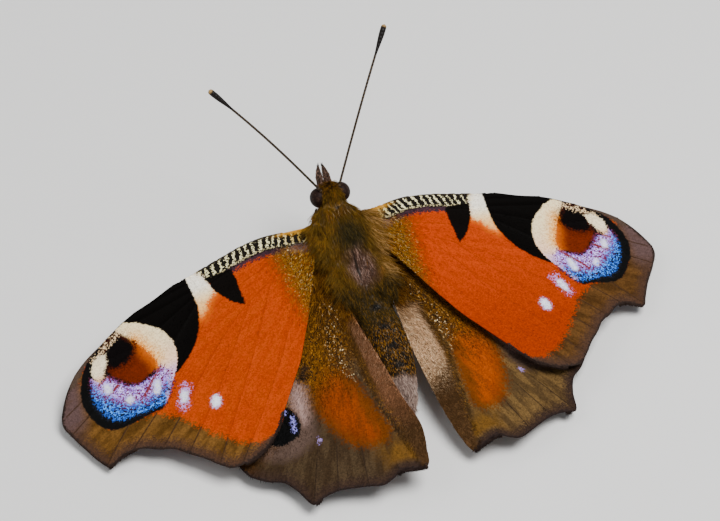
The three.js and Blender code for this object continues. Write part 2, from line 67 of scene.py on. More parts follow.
bpy.ops.object.select_all(action="DESELECT")
bpy.ops.mesh.primitive_plane_add(size=2.0, location=(0, 0, 0))
floor = bpy.context.active_object
floor.name = "floor"
floor_look, _, floor_shader = new_look("floor_paper")
floor_shader.inputs["Base Color"].default_value = (0.86, 0.85, 0.83, 1)
floor_shader.inputs["Roughness"].default_value = 0.85
floor.data.materials.append(floor_look)

PANELS = (("key", (0.09, -0.08, 0.34), 0.18, 1.8), ("fill", (-0.30, 0.12, 0.28), 0.3, 0.45))
for panel_name, panel_place, panel_size, panel_power in PANELS:
    panel = bpy.data.lights.new(panel_name, "AREA")
    panel.size = panel_size
    panel.energy = panel_power
    lamp = bpy.data.objects.new(panel_name, panel)
    bpy.context.scene.collection.objects.link(lamp)
    lamp.location = panel_place
    lamp.rotation_euler = (-Vector(panel_place)).to_track_quat("-Z", "Y").to_euler()
air = bpy.data.worlds.new("air")
air.use_nodes = True
air.node_tree.nodes["Background"].inputs["Color"].default_value = (0.92, 0.95, 1.0, 1)
air.node_tree.nodes["Background"].inputs["Strength"].default_value = 0.26
bpy.context.scene.world = air

# Fore wings: the front pair, a membrane a tenth of a millimetre thick, stiffened by veins and tiled with
# scales that carry the colours. Each is a grid laid over the net of its veins, given its thickness, and
# raised along them. Its marks are kept as distances in millimetres to each mark's edge.
# All wing measures are in millimetres: out from the body's middle and ahead of the wing root.
STATIONS = 12
HINGE_OUT = 2.8
HINGE_HEIGHT = 9.0
REAR_FALL = 0.185
SIDE_FALL = 0.165
SIDE_DROOP = 0.0026
MEMBRANE = 0.10
VEIN_FOOT = 0.13
VEIN_RISE = 0.06
FORE_EDGE = (
    (1.6, 0.75), (2.8, 0.85), (4.8, 1.2), (6.9, 1.6), (9.1, 1.65), (11.7, 1.3), (14.4, 0.9), (16.3, 0.75),
    (18.6, 0.2), (21.6, -0.5), (23.9, -1.55), (26.2, -2.55), (28.2, -4.2), (29.3, -5.9), (29.75, -7.4),
    (29.1, -9.0), (28.1, -10.7), (27.2, -12.4), (26.6, -13.3), (25.6, -12.95), (24.6, -12.75),
    (23.5, -13.0), (22.4, -13.8), (21.2, -14.4), (20.3, -15.4), (19.1, -16.5), (18.2, -17.6),
    (17.1, -18.5), (15.3, -18.6), (13.5, -18.0), (12.0, -16.8), (11.0, -15.4), (9.3, -13.2), (8.0, -11.5),
    (7.0, -9.8), (6.0, -8.0), (5.0, -6.0), (4.1, -4.2), (3.3, -2.5), (2.6, -1.4), (1.6, -1.0))


def smooth_curve(points, steps):
    """Many points along a soft line through a few, spaced as the hand draws them."""
    marks = [Vector(p) for p in points]
    marks = [2 * marks[0] - marks[1]] + marks + [2 * marks[-1] - marks[-2]]
    out = []
    for i in range(1, len(marks) - 2):
        knots = [0.0]
        for j in range(i - 1, i + 2):
            knots.append(knots[-1] + max((marks[j + 1] - marks[j]).length ** 0.5, 1e-6))
        for step in range(steps):
            t = knots[1] + (knots[2] - knots[1]) * step / steps
            row = list(marks[i - 1:i + 3])
            for level in range(1, 4):
                for k in range(4 - level):
                    low, high = (k, k + level) if level < 3 else (1, 2)
                    row[k] = row[k] * ((knots[high] - t) / (knots[high] - knots[low])) \
                        + row[k + 1] * ((t - knots[low]) / (knots[high] - knots[low]))
            out.append(tuple(row[0]))
    out.append(tuple(marks[-2]))
    return np.array(out)


def vein_line(marks):
    """A vein as a function of the station, through marks of the form station, out, ahead."""
    def slope(i):
        a, b = marks[max(i - 1, 0)], marks[min(i + 1, len(marks) - 1)]
        return (b[1] - a[1]) / (b[0] - a[0]), (b[2] - a[2]) / (b[0] - a[0])

    def at(station):
        i = max(n for n in range(len(marks) - 1) if marks[n][0] <= station or n == 0)
        span = marks[i + 1][0] - marks[i][0]
        t = (station - marks[i][0]) / span
        near, far = slope(i), slope(i + 1)
        return tuple((2 * t ** 3 - 3 * t ** 2 + 1) * marks[i][n + 1] + (t ** 3 - 2 * t ** 2
                     + t) * span * near[n]
                     + (3 * t ** 2 - 2 * t ** 3) * marks[i + 1][n + 1] + (t ** 3 - t ** 2) * span * far[n]
                     for n in (0, 1))
    return at


def vein_branch(stem, station, marks):
    """A vein that leaves a stem at a station and runs by its own marks to the edge."""
    own = vein_line(((station,) + stem(station),) + marks)
    return lambda k: stem(k) if k < station else own(k)


radius = vein_line(((0, 1.6, 0.25), (2, 5.0, 0.35), (5, 13.3, -0.75), (12, 29.6, -8.0)))
cubitus = vein_line(((0, 1.6, -0.45), (2, 5.2, -1.7), (5, 12.3, -5.2), (12, 22.0, -13.8)))
radial_fork = vein_branch(radius, 5, ((7, 18.6, -2.6), (12, 29.4, -6.9)))
FORE_VEINS = (
    (vein_line(((0, 1.6, 0.5), (3, 7.4, 1.15), (6, 12.6, 0.75), (12, 16.2, 0.75))), 1),
    (vein_branch(radius, 3, ((6, 13.4, 0.25), (12, 20.4, -0.2))), 1),
    (vein_branch(radius, 4, ((7, 16.6, -0.8), (12, 23.6, -1.45))), 1),
    (vein_branch(radial_fork, 8, ((10, 24.6, -3.4), (12, 27.4, -3.4))), 1),
    (radial_fork, 1),
    (vein_branch(radial_fork, 7, ((9, 22.9, -5.6), (12, 29.2, -8.8))), 1),
    (vein_branch(radius, 5, ((8, 19.5, -5.9), (12, 26.8, -13.1))), 1),
    (vein_line(((0, 1.6, -0.1), (2, 5.1, -0.7), (5, 13.2, -3.0), (8, 18.2, -7.6), (12, 24.4, -12.8))), 0),
    (cubitus, 1),
    (vein_branch(cubitus, 4, ((8, 15.2, -10.2), (12, 20.2, -15.4))), 1),
    (vein_branch(cubitus, 3, ((7, 11.9, -9.3), (12, 18.1, -17.7))), 1),
    (vein_line(((0, 1.6, -0.75), (3, 4.6, -3.4), (7, 10.1, -11.3), (12, 16.2, -18.6))), 1))


def wing_net(edge, veins, rows_per_station, spacing):
    """Points of the wing's plan, as columns by rows, with how high each stands on a vein."""
    curve = smooth_curve(edge, 60)
    stations = np.linspace(0, STATIONS, STATIONS * rows_per_station + 1)
    steps = np.arange(len(curve))

    def at(t):
        place = np.asarray(t) * (len(curve) - 1)
        return np.stack([np.interp(place, steps, curve[:, 0]), np.interp(place, steps, curve[:, 1])], -1)

    lines = [np.array([vein(k) for k in stations]) for vein, rise in veins]
    ends = [np.argmin(np.hypot(*(curve - line[-1]).T)) / (len(curve) - 1) for line in lines]
    front_end, back_end = ends[0] * 0.93, 1 - (1 - ends[-1]) * 0.93
    ribs = [at(front_end * stations / STATIONS)] + lines + [at(1 - (1 - back_end) * stations / STATIONS)]
    rises = [1] + [rise for vein, rise in veins] + [0]
    stops = [front_end] + ends + [back_end]
    late = np.clip((stations - STATIONS + 1.5) / 1.5, 0, 1)[:, None] ** 2
    columns, heights, pleats = [], [], []
    for i in range(len(ribs) - 1):
        a, b = ribs[i], ribs[i + 1]
        width = np.hypot(*(b - a).T)
        tip = np.hypot(*(at(stops[i]) - at(stops[i + 1])))
        width[-1] = max(tip, width[-1])
        foot = np.minimum(0.3, VEIN_FOOT / np.maximum(width, 1e-6))
        count = max(3, round(max(tip, width.max() * 0.7) / spacing))
        places = [np.zeros(len(stations))] + [foot + (1 - 2 * foot) * n / count for n in range(count + 1)]
        for w in places:
            line = a + (b - a) * w[:, None]
            tip_line = at(stops[i] + (stops[i + 1] - stops[i]) * w)
            straight = at(stops[i]) + (at(stops[i + 1]) - at(stops[i])) * w[:, None]
            line = line + (tip_line - straight) * late
            line[-1] = tip_line[-1]
            columns.append(line)
            near = np.minimum(w, 1 - w) * width
            rise = np.where(w < 0.5, rises[i], rises[i + 1])
            heights.append(np.clip(1 - near / VEIN_FOOT, 0, 1) * rise)
            pleats.append(np.sin(np.pi * w) * np.clip(width / 3, 0, 1))
    columns.append(ribs[-1].copy())
    columns[-1][-1] = at(stops[-1])
    heights.append(np.zeros(len(stations)))
    pleats.append(np.zeros(len(stations)))
    return np.array(columns), np.array(heights), np.array(pleats), np.array(lines)


def edge_distance(points, outline):
    """Distance of each point to a closed outline, below nought inside it."""
    a = np.array(outline, float)
    b = np.roll(a, -1, 0)
    p = points[:, None, :]
    along = np.clip(((p - a) * (b - a)).sum(-1) / np.maximum(((b - a) ** 2).sum(-1), 1e-9), 0, 1)
    gap = np.hypot(*(p - a - along[..., None] * (b - a)).transpose(2, 0, 1)).min(1)
    rise = (a[:, 1] > p[..., 1]) != (b[:, 1] > p[..., 1])
    climb = np.where(b[:, 1] == a[:, 1], 1, b[:, 1] - a[:, 1])
    cross = a[:, 0] + (p[..., 1] - a[:, 1]) * (b[:, 0] - a[:, 0]) / climb
    inside = (rise & (p[..., 0] < cross)).sum(1) % 2 == 1
    return np.where(inside, -gap, gap)


def line_distance(points, line):
    """Distance of each point to an open line."""
    a, b = np.array(line[:-1], float), np.array(line[1:], float)
    best = np.full(len(points), 1e9)
    for start, end in zip(a, b):
        along = np.clip(((points - start) @ (end - start)) / max(((end - start) ** 2).sum(), 1e-9), 0, 1)
        best = np.minimum(best, np.hypot(*(points - start - along[:, None] * (end - start)).T))
    return best


def read(data, key, count, kind=np.float32):
    """One value of each of a mesh's elements."""
    values = np.zeros(count, kind)
    data.foreach_get(key, values)
    return values


def keep(mesh, name, values):
    """Keeps a number with each point of a mesh."""
    mesh.attributes.new(name, "FLOAT", "POINT").data.foreach_set("value", values.astype(np.float32))


def weld(distance, sliver=None):
    """Joins the points of the active mesh that meet, drops its slivers and turns its faces outwards."""
    bpy.ops.object.mode_set(mode="EDIT")
    bpy.ops.mesh.select_all(action="SELECT")
    bpy.ops.mesh.remove_doubles(threshold=distance)
    if sliver:
        bpy.ops.mesh.dissolve_degenerate(threshold=sliver)
        bpy.ops.mesh.select_all(action="SELECT")
    bpy.ops.mesh.normals_make_consistent(inside=False)
    bpy.ops.object.mode_set(mode="OBJECT")


def wing_sheet(name, net, side, place, marks):
    """A wing from its net: a grid laid on the net, joined at the root, thickened and raised on its veins."""
    columns, heights, pleats, lines = net
    bpy.ops.object.select_all(action="DESELECT")
    bpy.ops.mesh.primitive_grid_add(x_subdivisions=columns.shape[0] - 1, y_subdivisions=columns.shape[1] - 1,
                                    size=1, location=(0, 0, 0))
    wing = bpy.context.active_object
    wing.name = name
    mesh = wing.data
    flat = read(mesh.vertices, "co", len(mesh.vertices) * 3).reshape(-1, 3)
    column = np.round((flat[:, 0] + 0.5) * (columns.shape[0] - 1)).astype(int)
    row = np.round((flat[:, 1] + 0.5) * (columns.shape[1] - 1)).astype(int)
    # The net runs from the front edge to the back: on the right wing that turns the grid over
    if side < 0:
        row = columns.shape[1] - 1 - row
    plan = columns[column, row]
    body = place(side, plan, pleats[column, row])
    mesh.vertices.foreach_set("co", (np.array(BODY_SHIFT) + body / 1000).astype(np.float32).ravel())
    keep(mesh, "rise", heights[column, row])
    keep(mesh, "out", plan[:, 0])
    keep(mesh, "ahead", plan[:, 1])
    keep(mesh, "vein", np.min([line_distance(plan, line[::3]) for line in lines], 0))
    for mark, measure in marks.items():
        keep(mesh, mark, measure(plan))
    weld(0.00003, 0.00001)
    if sum(face.normal.z * face.area for face in mesh.polygons) < 0:
        mesh.flip_normals()
    shell = wing.modifiers.new("membrane", "SOLIDIFY")
    shell.thickness = MEMBRANE / 1000
    shell.offset = 0
    shell.use_even_offset = False
    shell.material_offset = 1
    bpy.ops.object.modifier_apply(modifier="membrane")
    lift = read(mesh.attributes["rise"].data, "value", len(mesh.vertices))
    spots = read(mesh.vertices, "co", len(mesh.vertices) * 3).reshape(-1, 3)
    facing = np.array([v.normal.z for v in mesh.vertices])
    spots[:, 2] += np.sign(facing) * lift * VEIN_RISE / 1000
    mesh.vertices.foreach_set("co", spots.ravel())
    mesh.polygons.foreach_set("use_smooth", np.ones(len(mesh.polygons), bool))
    mesh.update()
    return wing


def wing_height(out, ahead):
    """Height of the wings' common surface, which falls to the rear and droops to the side."""
    beyond = out - HINGE_OUT
    return HINGE_HEIGHT + REAR_FALL * ahead - SIDE_FALL * beyond - SIDE_DROOP * beyond ** 2


def fore_place(side, plan, pleat):
    """The body place of the fore wing's plan, with the hook of each side let out or drawn in."""
    near = np.exp(-((plan[:, 0] - 27) ** 2 + (plan[:, 1] + 12.2) ** 2) / 4.5 ** 2)
    out = plan[:, 0] - side * 0.7 * near
    sag = 0.1 * pleat * np.clip((plan[:, 0] - 5) / 10, 0, 1)
    return np.stack([side * out, plan[:, 1], wing_height(out, plan[:, 1]) - sag], -1)


def spot_distance(points, spots):
    """Distance to the nearest of some long spots, each a start, an end and a half width."""
    gaps = [line_distance(points, (start, end)) - half for start, end, half in spots]
    return np.min(gaps, 0)


# Each mark is a measure: the distance to a line, to a closed outline or to some long spots
def lined(line):
    return lambda plan: line_distance(plan, line)


def outlined(*points):
    return lambda plan: edge_distance(plan, points)


def spotted(*spots):
    return lambda plan: spot_distance(plan, spots)


def constant(value):
    return lambda plan: np.full(len(plan), value)


fore_edge_line = smooth_curve(FORE_EDGE, 8)
front_part = fore_edge_line[:12 * 8]
outer_part = fore_edge_line[12 * 8:31 * 8]
FORE_MARKS = {
    "costa": lined(front_part),
    "margin": lined(outer_part),
    "white": outlined(
        (14.2, 1.4), (13.4, 0.1), (12.85, -1.6), (13.7, -2.0), (14.2, -2.9), (14.8, -3.4), (15.0, -1.2),
        (15.05, 0.2), (15.1, 1.4)),
    "wedge": outlined(
        (13.3, 0.1), (12.8, -1.6), (11.85, -3.1), (10.6, -4.2), (10.65, -2.4), (10.6, -1.1), (10.7, -0.1)),
    "black": outlined(
        (15.0, 1.6), (14.8, -0.6), (14.75, -2.2), (14.95, -3.1), (15.4, -4.4), (16.1, -5.55), (17.1, -6.55),
        (18.1, -7.25), (18.9, -7.7), (19.5, -7.0), (20, -4), (21.5, -2), (23, 0.5), (20, 2)),
    "spot": outlined(
        (21.6, -0.55), (20.5, -1.15), (19.3, -2.1), (18.5, -3.1), (18.05, -4.3), (18.0, -5.4), (18.3, -6.6),
        (18.9, -7.6), (19.6, -8.6), (20.3, -9.7), (21.0, -10.3), (22.4, -10.2), (23.6, -10.35),
        (24.5, -10.35), (25.5, -10.0), (26.3, -9.2), (27.1, -7.9), (27.5, -6.4), (27.3, -5.0), (26.7, -3.7),
        (25.9, -2.7), (24.5, -1.8), (23, -1.1)),
    "ring": outlined(
        (22.6, -1.0), (21.6, -0.3), (20.3, -0.9), (19.0, -2.0), (18.2, -3.1), (17.7, -4.3), (17.7, -5.6),
        (18.0, -6.8), (18.7, -7.8), (19.4, -8.7), (20.1, -9.8), (20.5, -9.6), (19.7, -8.4), (19.6, -7.2),
        (20.0, -6.2), (20.1, -5.2), (20.6, -4.2), (21.1, -3.2), (21.7, -2.3), (22.2, -1.6)),
    "crescent": outlined(
        (24.0, -2.7), (24.8, -2.5), (25.5, -2.9), (25.95, -3.7), (25.95, -4.5), (25.4, -5.1), (24.9, -4.8),
        (24.5, -4.1), (24.1, -3.6)),
    "pupil": outlined(
        (22.6, -1.7), (21.9, -2.4), (21.5, -3.1), (21.8, -3.8), (22.5, -4.3), (23.3, -4.45), (24.0, -4.3),
        (24.2, -3.6), (24.2, -2.9), (24.0, -2.4), (23.4, -1.95)),
    "core": outlined(
        (21.3, -2.8), (20.8, -3.9), (20.25, -5.0), (20.1, -5.8), (20.4, -6.3), (21.2, -6.7), (22.1, -6.95),
        (22.7, -6.7), (23.4, -6.0), (24.2, -5.2), (24.4, -4.5), (24.1, -4.0), (22.8, -3.7)),
    "iris": outlined(
        (19.8, -6.2), (19.1, -7.0), (19.2, -8.2), (19.9, -9.3), (20.6, -10.0), (21.4, -10.05), (22.4, -9.9),
        (23.4, -9.8), (24.3, -9.75), (25.1, -9.4), (25.8, -8.5), (26.4, -7.4), (26.6, -6.3), (26.4, -5.3),
        (26.1, -4.4), (25.9, -4.5), (25.3, -5.1), (24.6, -5.0), (24.1, -5.5), (23.3, -6.5), (22.1, -7.0),
        (20.9, -6.8)),
    "tan": outlined(
        (25.9, -2.2), (26.7, -4.0), (27.0, -5.4), (27.0, -6.8), (26.4, -8.3), (25.4, -9.6), (23.6, -9.9),
        (21.9, -10.2), (20.9, -10.9), (19.8, -11.8), (18.7, -13.2), (17.35, -14.9), (15.6, -16.6),
        (14.0, -17.35), (12.7, -17.2),
        (11.3, -16.6), (11.5, -20), (20, -20), (32, -14), (32, -2)),
    "lights": spotted(
        ((24.95, -5.85), (24.88, -6.35), 0.20), ((23.38, -7.85), (23.25, -8.1), 0.19),
        ((20.65, -7.6), (20.85, -8.4), 0.20), ((18.75, -9.75), (18.95, -10.35), 0.24),
        ((16.3, -11.65), (16.4, -12.0), 0.34)),
    "brow": spotted(((22.3, -1.35), (24.4, -2.3), 0.34), ((24.4, -2.3), (25.4, -2.9), 0.24)),
    "halo": spotted(((18.4, -9.2), (19.15, -10.8), 0.62), ((16.3, -11.7), (16.4, -12.0), 0.42)),
}


def plug(tree, kind, *inputs, **settings):
    """Adds a shader node and fills its inputs in order with sockets or values; None leaves one as it is."""
    made = tree.nodes.new("ShaderNode" + kind)
    for name, value in settings.items():
        setattr(made, name, value)
    for socket, value in zip(made.inputs, inputs):
        if isinstance(value, bpy.types.NodeSocket):
            tree.links.new(value, socket)
        elif value is not None:
            socket.default_value = value
    return made


def sum_up(tree, kind, *inputs):
    """One arithmetic step on numbers."""
    return plug(tree, "Math", *inputs, operation=kind).outputs[0]


def ramp(tree, value, low, high):
    """Nought up to low, one from high on, and soft between; low may be the larger."""
    return plug(tree, "MapRange", value, low, high, 0.0, 1.0, interpolation_type="SMOOTHSTEP").outputs[0]


def lay(tree, mask, under, over):
    """Lays one colour over another where the mask is one."""
    colours = [c if isinstance(c, bpy.types.NodeSocket) else tuple(c) + (1,) for c in (under, over)]
    return plug(tree, "MixRGB", mask, *colours).outputs[0]


def kept_value(tree, name):
    """A value kept on the mesh."""
    return plug(tree, "Attribute", attribute_name=name).outputs["Fac"]


def in_mm(tree, shift=None):
    """The place on a piece in millimetres, moved if asked."""
    place = plug(tree, "TexCoord").outputs["Object"]
    return plug(tree, "Mapping", place, shift, None, (1000, 1000, 1000)).outputs[0]


def noise(tree, place, scale, detail, rough=None):
    """A slow wandering value about one half."""
    return plug(tree, "TexNoise", place, None, scale, detail, rough).outputs["Fac"]


def carry(tree, value, low, high, to_low, to_high):
    """Carries a value from one range to another, and holds it at the ends."""
    return plug(tree, "MapRange", value, low, high, to_low, to_high).outputs[0]


def scaled(tree, colour, amount):
    """A colour made lighter or darker by an amount."""
    made = plug(tree, "VectorMath", colour, operation="SCALE")
    tree.links.new(amount, made.inputs["Scale"])
    return made.outputs[0]


def new_group(name, inputs, outputs):
    """An empty node group with named sockets: the group, its inputs as sources and its outputs as goals."""
    made = bpy.data.node_groups.new(name, "ShaderNodeTree")
    for way, sockets in (("INPUT", inputs), ("OUTPUT", outputs)):
        for label, kind in sockets:
            made.interface.new_socket(label, in_out=way, socket_type="NodeSocket" + kind)
    return made, made.nodes.new("NodeGroupInput").outputs, made.nodes.new("NodeGroupOutput").inputs


def use_group(tree, group, value):
    """A group placed in a tree, with its one input a number or a socket."""
    made = tree.nodes.new("ShaderNodeGroup")
    made.node_tree = group
    if isinstance(value, bpy.types.NodeSocket):
        tree.links.new(value, made.inputs[0])
    else:
        made.inputs[0].default_value = value
    return made


def finish_look(tree, shader, colour, roughness, lustre, height=None, strength=0.0, depth=0.0, sunk=False):
    """Gives a shader its colour, roughness and lustre, and a relief of some depth in millimetres."""
    tree.links.new(colour, shader.inputs["Base Color"])
    tree.links.new(roughness, shader.inputs["Roughness"])
    shader.inputs["Specular IOR Level"].default_value = lustre
    if height is None:
        return
    relief = tree.nodes.new("ShaderNodeBump")
    relief.inputs["Strength"].default_value = strength
    relief.inputs["Distance"].default_value = depth / 1000
    relief.invert = sunk
    tree.links.new(height, relief.inputs["Height"])
    tree.links.new(relief.outputs[0], shader.inputs["Normal"])


# One group draws the tiling of scales for every winged surface: a random value and a height for each scale,
# and two slower wanderings, a coarse one and a fine one, that fray the edges of marks.
scale_group, scale_from, scale_to = new_group(
    "wing_scales", [("Scales per mm", "Float")],
    [(name, "Float") for name in ("Speck", "Height", "Fray", "Drift")])
scale_mm = in_mm(scale_group)
scale_cells = plug(scale_group, "TexVoronoi", scale_mm, None, scale_from[0]).outputs
for goal, value in (
        ("Speck", plug(scale_group, "SeparateColor", scale_cells["Color"]).outputs[0]),
        ("Height", sum_up(scale_group, "SUBTRACT", 1.0, scale_cells["Distance"])),
        ("Fray", noise(scale_group, scale_mm, 4.0, 3.0)), ("Drift", noise(scale_group, scale_mm, 0.45, 2.0))):
    scale_group.links.new(value, scale_to[goal])


WING_SCALES_PER_MM = 9.0


class WingPaint:
    """A wing's material while it is painted: the scales, the frayed masks and the colour so far."""

    def __init__(self, name, ground, hair=False):
        self.hair = hair
        self.material, self.tree, self.shader = new_look(name)
        self.scales = use_group(self.tree, scale_group, WING_SCALES_PER_MM)
        self.speck = self.value("tint") if hair else self.scales.outputs["Speck"]
        self.out, self.ahead = self.value("out"), self.value("ahead")
        # Streaks that run out from the wing root, as the scales do
        away = self.step("ADD", self.out, 1.5)
        angle = self.step("ARCTAN2", self.ahead, away)
        square = self.step("MULTIPLY_ADD", away, away, self.step("MULTIPLY", self.ahead, self.ahead))
        far = self.step("MULTIPLY", self.step("SQRT", square), 0.3)
        rays = plug(self.tree, "CombineXYZ", self.step("MULTIPLY", angle, 26.0), far, 0.0).outputs[0]
        self.streak = noise(self.tree, rays, 1.0, 3.0, 0.6)
        self.colour = plug(self.tree, "RGB").outputs[0]
        self.colour.default_value = tuple(ground) + (1,)

    def step(self, kind, *inputs):
        return sum_up(self.tree, kind, *inputs)

    def mix(self, mask, under, over):
        return lay(self.tree, mask, under, over)

    def rise(self, value, low, high):
        return ramp(self.tree, value, low, high)

    def by_out(self, low, high):
        return self.rise(self.out, low, high)

    def by_ahead(self, low, high):
        return self.rise(self.ahead, low, high)

    def specks(self, low, high):
        return self.rise(self.speck, low, high)

    def streaks(self, low, high):
        return self.rise(self.streak, low, high)

    def value(self, name):
        return kept_value(self.tree, name)

    def within(self, distance, soft=0.08, fray=0.25, speck=0.0, reach=0.0):
        """One inside a mark, with an edge as soft and as frayed as the scales make it."""
        if isinstance(distance, str):
            distance = self.value(distance)
        off = self.step("SUBTRACT", self.scales.outputs["Fray"], 0.5)
        moved = self.step("MULTIPLY_ADD", off, fray, distance)
        if speck:
            moved = self.step("MULTIPLY_ADD", self.step("SUBTRACT", self.speck, 0.5), speck, moved)
        return self.rise(moved, reach + soft, reach - soft)

    def both(self, *masks):
        result = masks[0]
        for mask in masks[1:]:
            result = self.step("MULTIPLY", result, mask)
        return result

    def paint(self, colour, *masks):
        """Lays a colour where all the masks are one."""
        self.colour = self.mix(self.both(*masks), self.colour, colour)

    def finish(self, roughness, grain, bump):
        """Shades each scale a little apart, and gives the shader its colour, roughness and relief."""
        tree = self.tree
        shade = carry(tree, self.speck, 0.0, 1.0, 1 - grain, 1 + grain)
        if self.hair:
            shade = self.step("MULTIPLY", shade, carry(tree, self.value("tip"), 0.0, 1.0, 0.6, 1.3))
        dull = carry(tree, self.speck, 0.0, 1.0, roughness - 0.08, roughness + 0.12)
        finish_look(tree, self.shader, scaled(tree, self.colour, shade), dull, 0.03,
                    self.scales.outputs["Height"], bump, 0.04)
        return self.material


def paint_fore_wing(name, hair):
    """The markings of the fore wing, for its scales or for the hair on them."""
    f = WingPaint(name, (0.39, 0.038, 0.0002), hair=hair)
    drift = f.scales.outputs["Drift"]
    on_right = f.value("right")
    f.paint((0.43, 0.047, 0.0002), f.streaks(0.4, 0.62))
    # The right wing is a little redder in front, and darker behind as painted shade where less light falls
    f.paint(f.mix(f.streaks(0.4, 0.62), (0.4, 0.035, 0.0002), (0.45, 0.042, 0.0002)), on_right)
    # Painted shade: the right wing darkened towards its hind edge
    f.paint((0.31, 0.027, 0.0002), on_right, f.by_ahead(-5.0, -15.0))
    # Veins of the orange field: thin lines hardly darker than the scales beside them
    f.paint((0.31, 0.03, 0.0003), f.within("vein", 0.05, 0.08, reach=0.04), f.by_out(6.0, 9.0))
    # Root: golden scales with black and cream ones among them, and a dusky violet patch under the front edge
    root_reach = f.step("MULTIPLY_ADD", f.ahead, -0.12, f.out)
    root_zone = f.within(root_reach, 1.3, 2.6, 1.2, reach=6.6)
    f.paint((0.34, 0.105, 0.004), root_zone)
    f.paint((0.026, 0.015, 0.006), root_zone, f.specks(0.42, 0.48))
    f.paint((0.46, 0.25, 0.035), root_zone, f.specks(0.74, 0.78))
    cream_from = 0.97 if hair else 0.92
    f.paint((0.78, 0.58, 0.28), root_zone, f.specks(cream_from, cream_from + 0.02))
    f.paint((0.15, 0.1, 0.1), f.within("costa", 0.3, 0.6, 0.6, reach=2.2), f.by_out(5.6, 4.2),
            f.specks(0.3, 0.4))
    # Front edge: uneven cream bars on black, and under them a broken cream line and a dusky violet one
    f.paint((0.045, 0.02, 0.028), f.within("costa", 0.12, 0.35, 0.5, reach=1.95), f.by_out(4.6, 6.5),
            f.by_out(13.6, 12.6))
    to_bar = f.by_out(14.7, 14.2)
    f.paint((0.01, 0.008, 0.006), f.within("costa", 0.05, 0.25, 0.2, reach=1.5), to_bar)
    f.paint((0.56, 0.46, 0.24), f.within("costa", 0.04, 0.3, 0.5, reach=1.48),
            f.within("costa", -0.04, 0.3, 0.3, reach=1.3), to_bar, f.specks(0.5, 0.58))
    bar_cream = f.mix(f.by_out(6.8, 3.4), (0.84, 0.76, 0.42), (0.5, 0.32, 0.06))
    slanted = f.step("MULTIPLY_ADD", f.ahead, 0.35, f.out)
    wander = f.step("MULTIPLY_ADD", f.scales.outputs["Fray"], 0.75,
                    f.step("MULTIPLY_ADD", drift, 1.1, slanted))
    wave = f.step("SINE", f.step("MULTIPLY", wander, 2 * math.pi / 0.66))
    f.paint(bar_cream, f.within("costa", 0.06, 0.25, 0.25, reach=1.26), to_bar, f.rise(wave, 0.34, 0.6),
            f.specks(0.17, 0.24))
    f.paint((0.5, 0.23, 0.02), f.within("costa", 0.15, 0.3, 0.3, reach=0.35), f.by_out(6.6, 4.6))
    f.paint((0.03, 0.022, 0.015), f.within("costa", 0.04, 0.1, 0.1, reach=0.1), f.by_out(4.5, 6.5))
    f.paint((0.13, 0.062, 0.005), f.by_out(3.3, 2.7))
    # The dark wedge, the white patch that fades through peach into orange, and the broad black bar
    f.paint((0.72, 0.13, 0.002), f.within("white", 0.6, 0.7, 0.5, reach=0.45), f.by_ahead(-0.6, -1.8))
    patch = f.within("white", 0.2, 0.5, 0.45, reach=0.06)
    f.paint((1.0, 0.52, 0.16), patch, f.by_ahead(-4.2, -2.4))
    f.paint((1.0, 0.76, 0.42), patch, f.by_ahead(-2.6, -1.1))
    f.paint((1.0, 0.93, 0.78), patch, f.by_ahead(-1.7, -0.3))
    f.paint((0.003, 0.002, 0.0015), f.within("wedge", 0.09, 0.35))
    f.paint((0.002, 0.0015, 0.0012), f.within("black", 0.09, 0.3))
    # Brown border, golden towards the orange and purplish at the edge, with dark vein lines
    border = f.within("tan", 0.3, 0.9, 0.5)
    tan_dark = f.mix(on_right, (0.075, 0.033, 0.006), (0.055, 0.024, 0.006))
    tan_light = f.mix(on_right, (0.155, 0.07, 0.015), (0.105, 0.046, 0.012))
    f.paint(f.mix(f.streaks(0.38, 0.64), tan_dark, tan_light), border)
    f.paint((0.06, 0.03, 0.018), f.within("tan", 0.2), f.within("margin", 0.6, 1.0, 0.4, reach=0.9))
    f.paint((0.095, 0.055, 0.05), f.within("tan", 0.2), f.by_out(26.6, 28.2), f.by_ahead(-9.8, -7.6),
            f.streaks(0.25, 0.5))
    f.paint((0.04, 0.02, 0.01), f.within("tan", 0.1), f.within("vein", 0.05, 0.1, reach=0.05))
    f.paint((0.07, 0.045, 0.032), f.within("costa", 0.12, 0.3, 0.2, reach=0.5), f.by_out(22.5, 24.5))
    # Eyespot: a black rim, then a cream ring that runs on along the front edge and turns peach inwards
    in_spot = f.within("spot", 0.06, 0.25, 0.1)
    f.paint((0.004, 0.004, 0.004), f.within("spot", 0.08, 0.3))
    ring = f.both(f.within("ring", 0.07, 0.35, 0.2), in_spot)
    peach = f.mix(f.by_ahead(-3.2, -6.4), (1.0, 0.8, 0.46), (1.0, 0.64, 0.42))
    f.paint((0.62, 0.15, 0.004), f.within("core", 0.2, 0.5, 0.4, reach=0.6),
            f.within("ring", 0.3, 0.5, 0.4, reach=0.5), in_spot)
    f.paint(peach, ring)
    inner_side = f.by_ahead(-6.4, -5.2)
    f.paint((1.0, 0.66, 0.32), ring, f.within("core", 0.8, 0.5, 0.5, reach=1.2), inner_side)
    f.paint((1.0, 0.52, 0.16), ring, f.within("core", 0.5, 0.5, 0.5, reach=0.7), inner_side)
    f.paint((0.92, 0.3, 0.025), ring, f.within("core", 0.35, 0.5, 0.5, reach=0.3), inner_side)
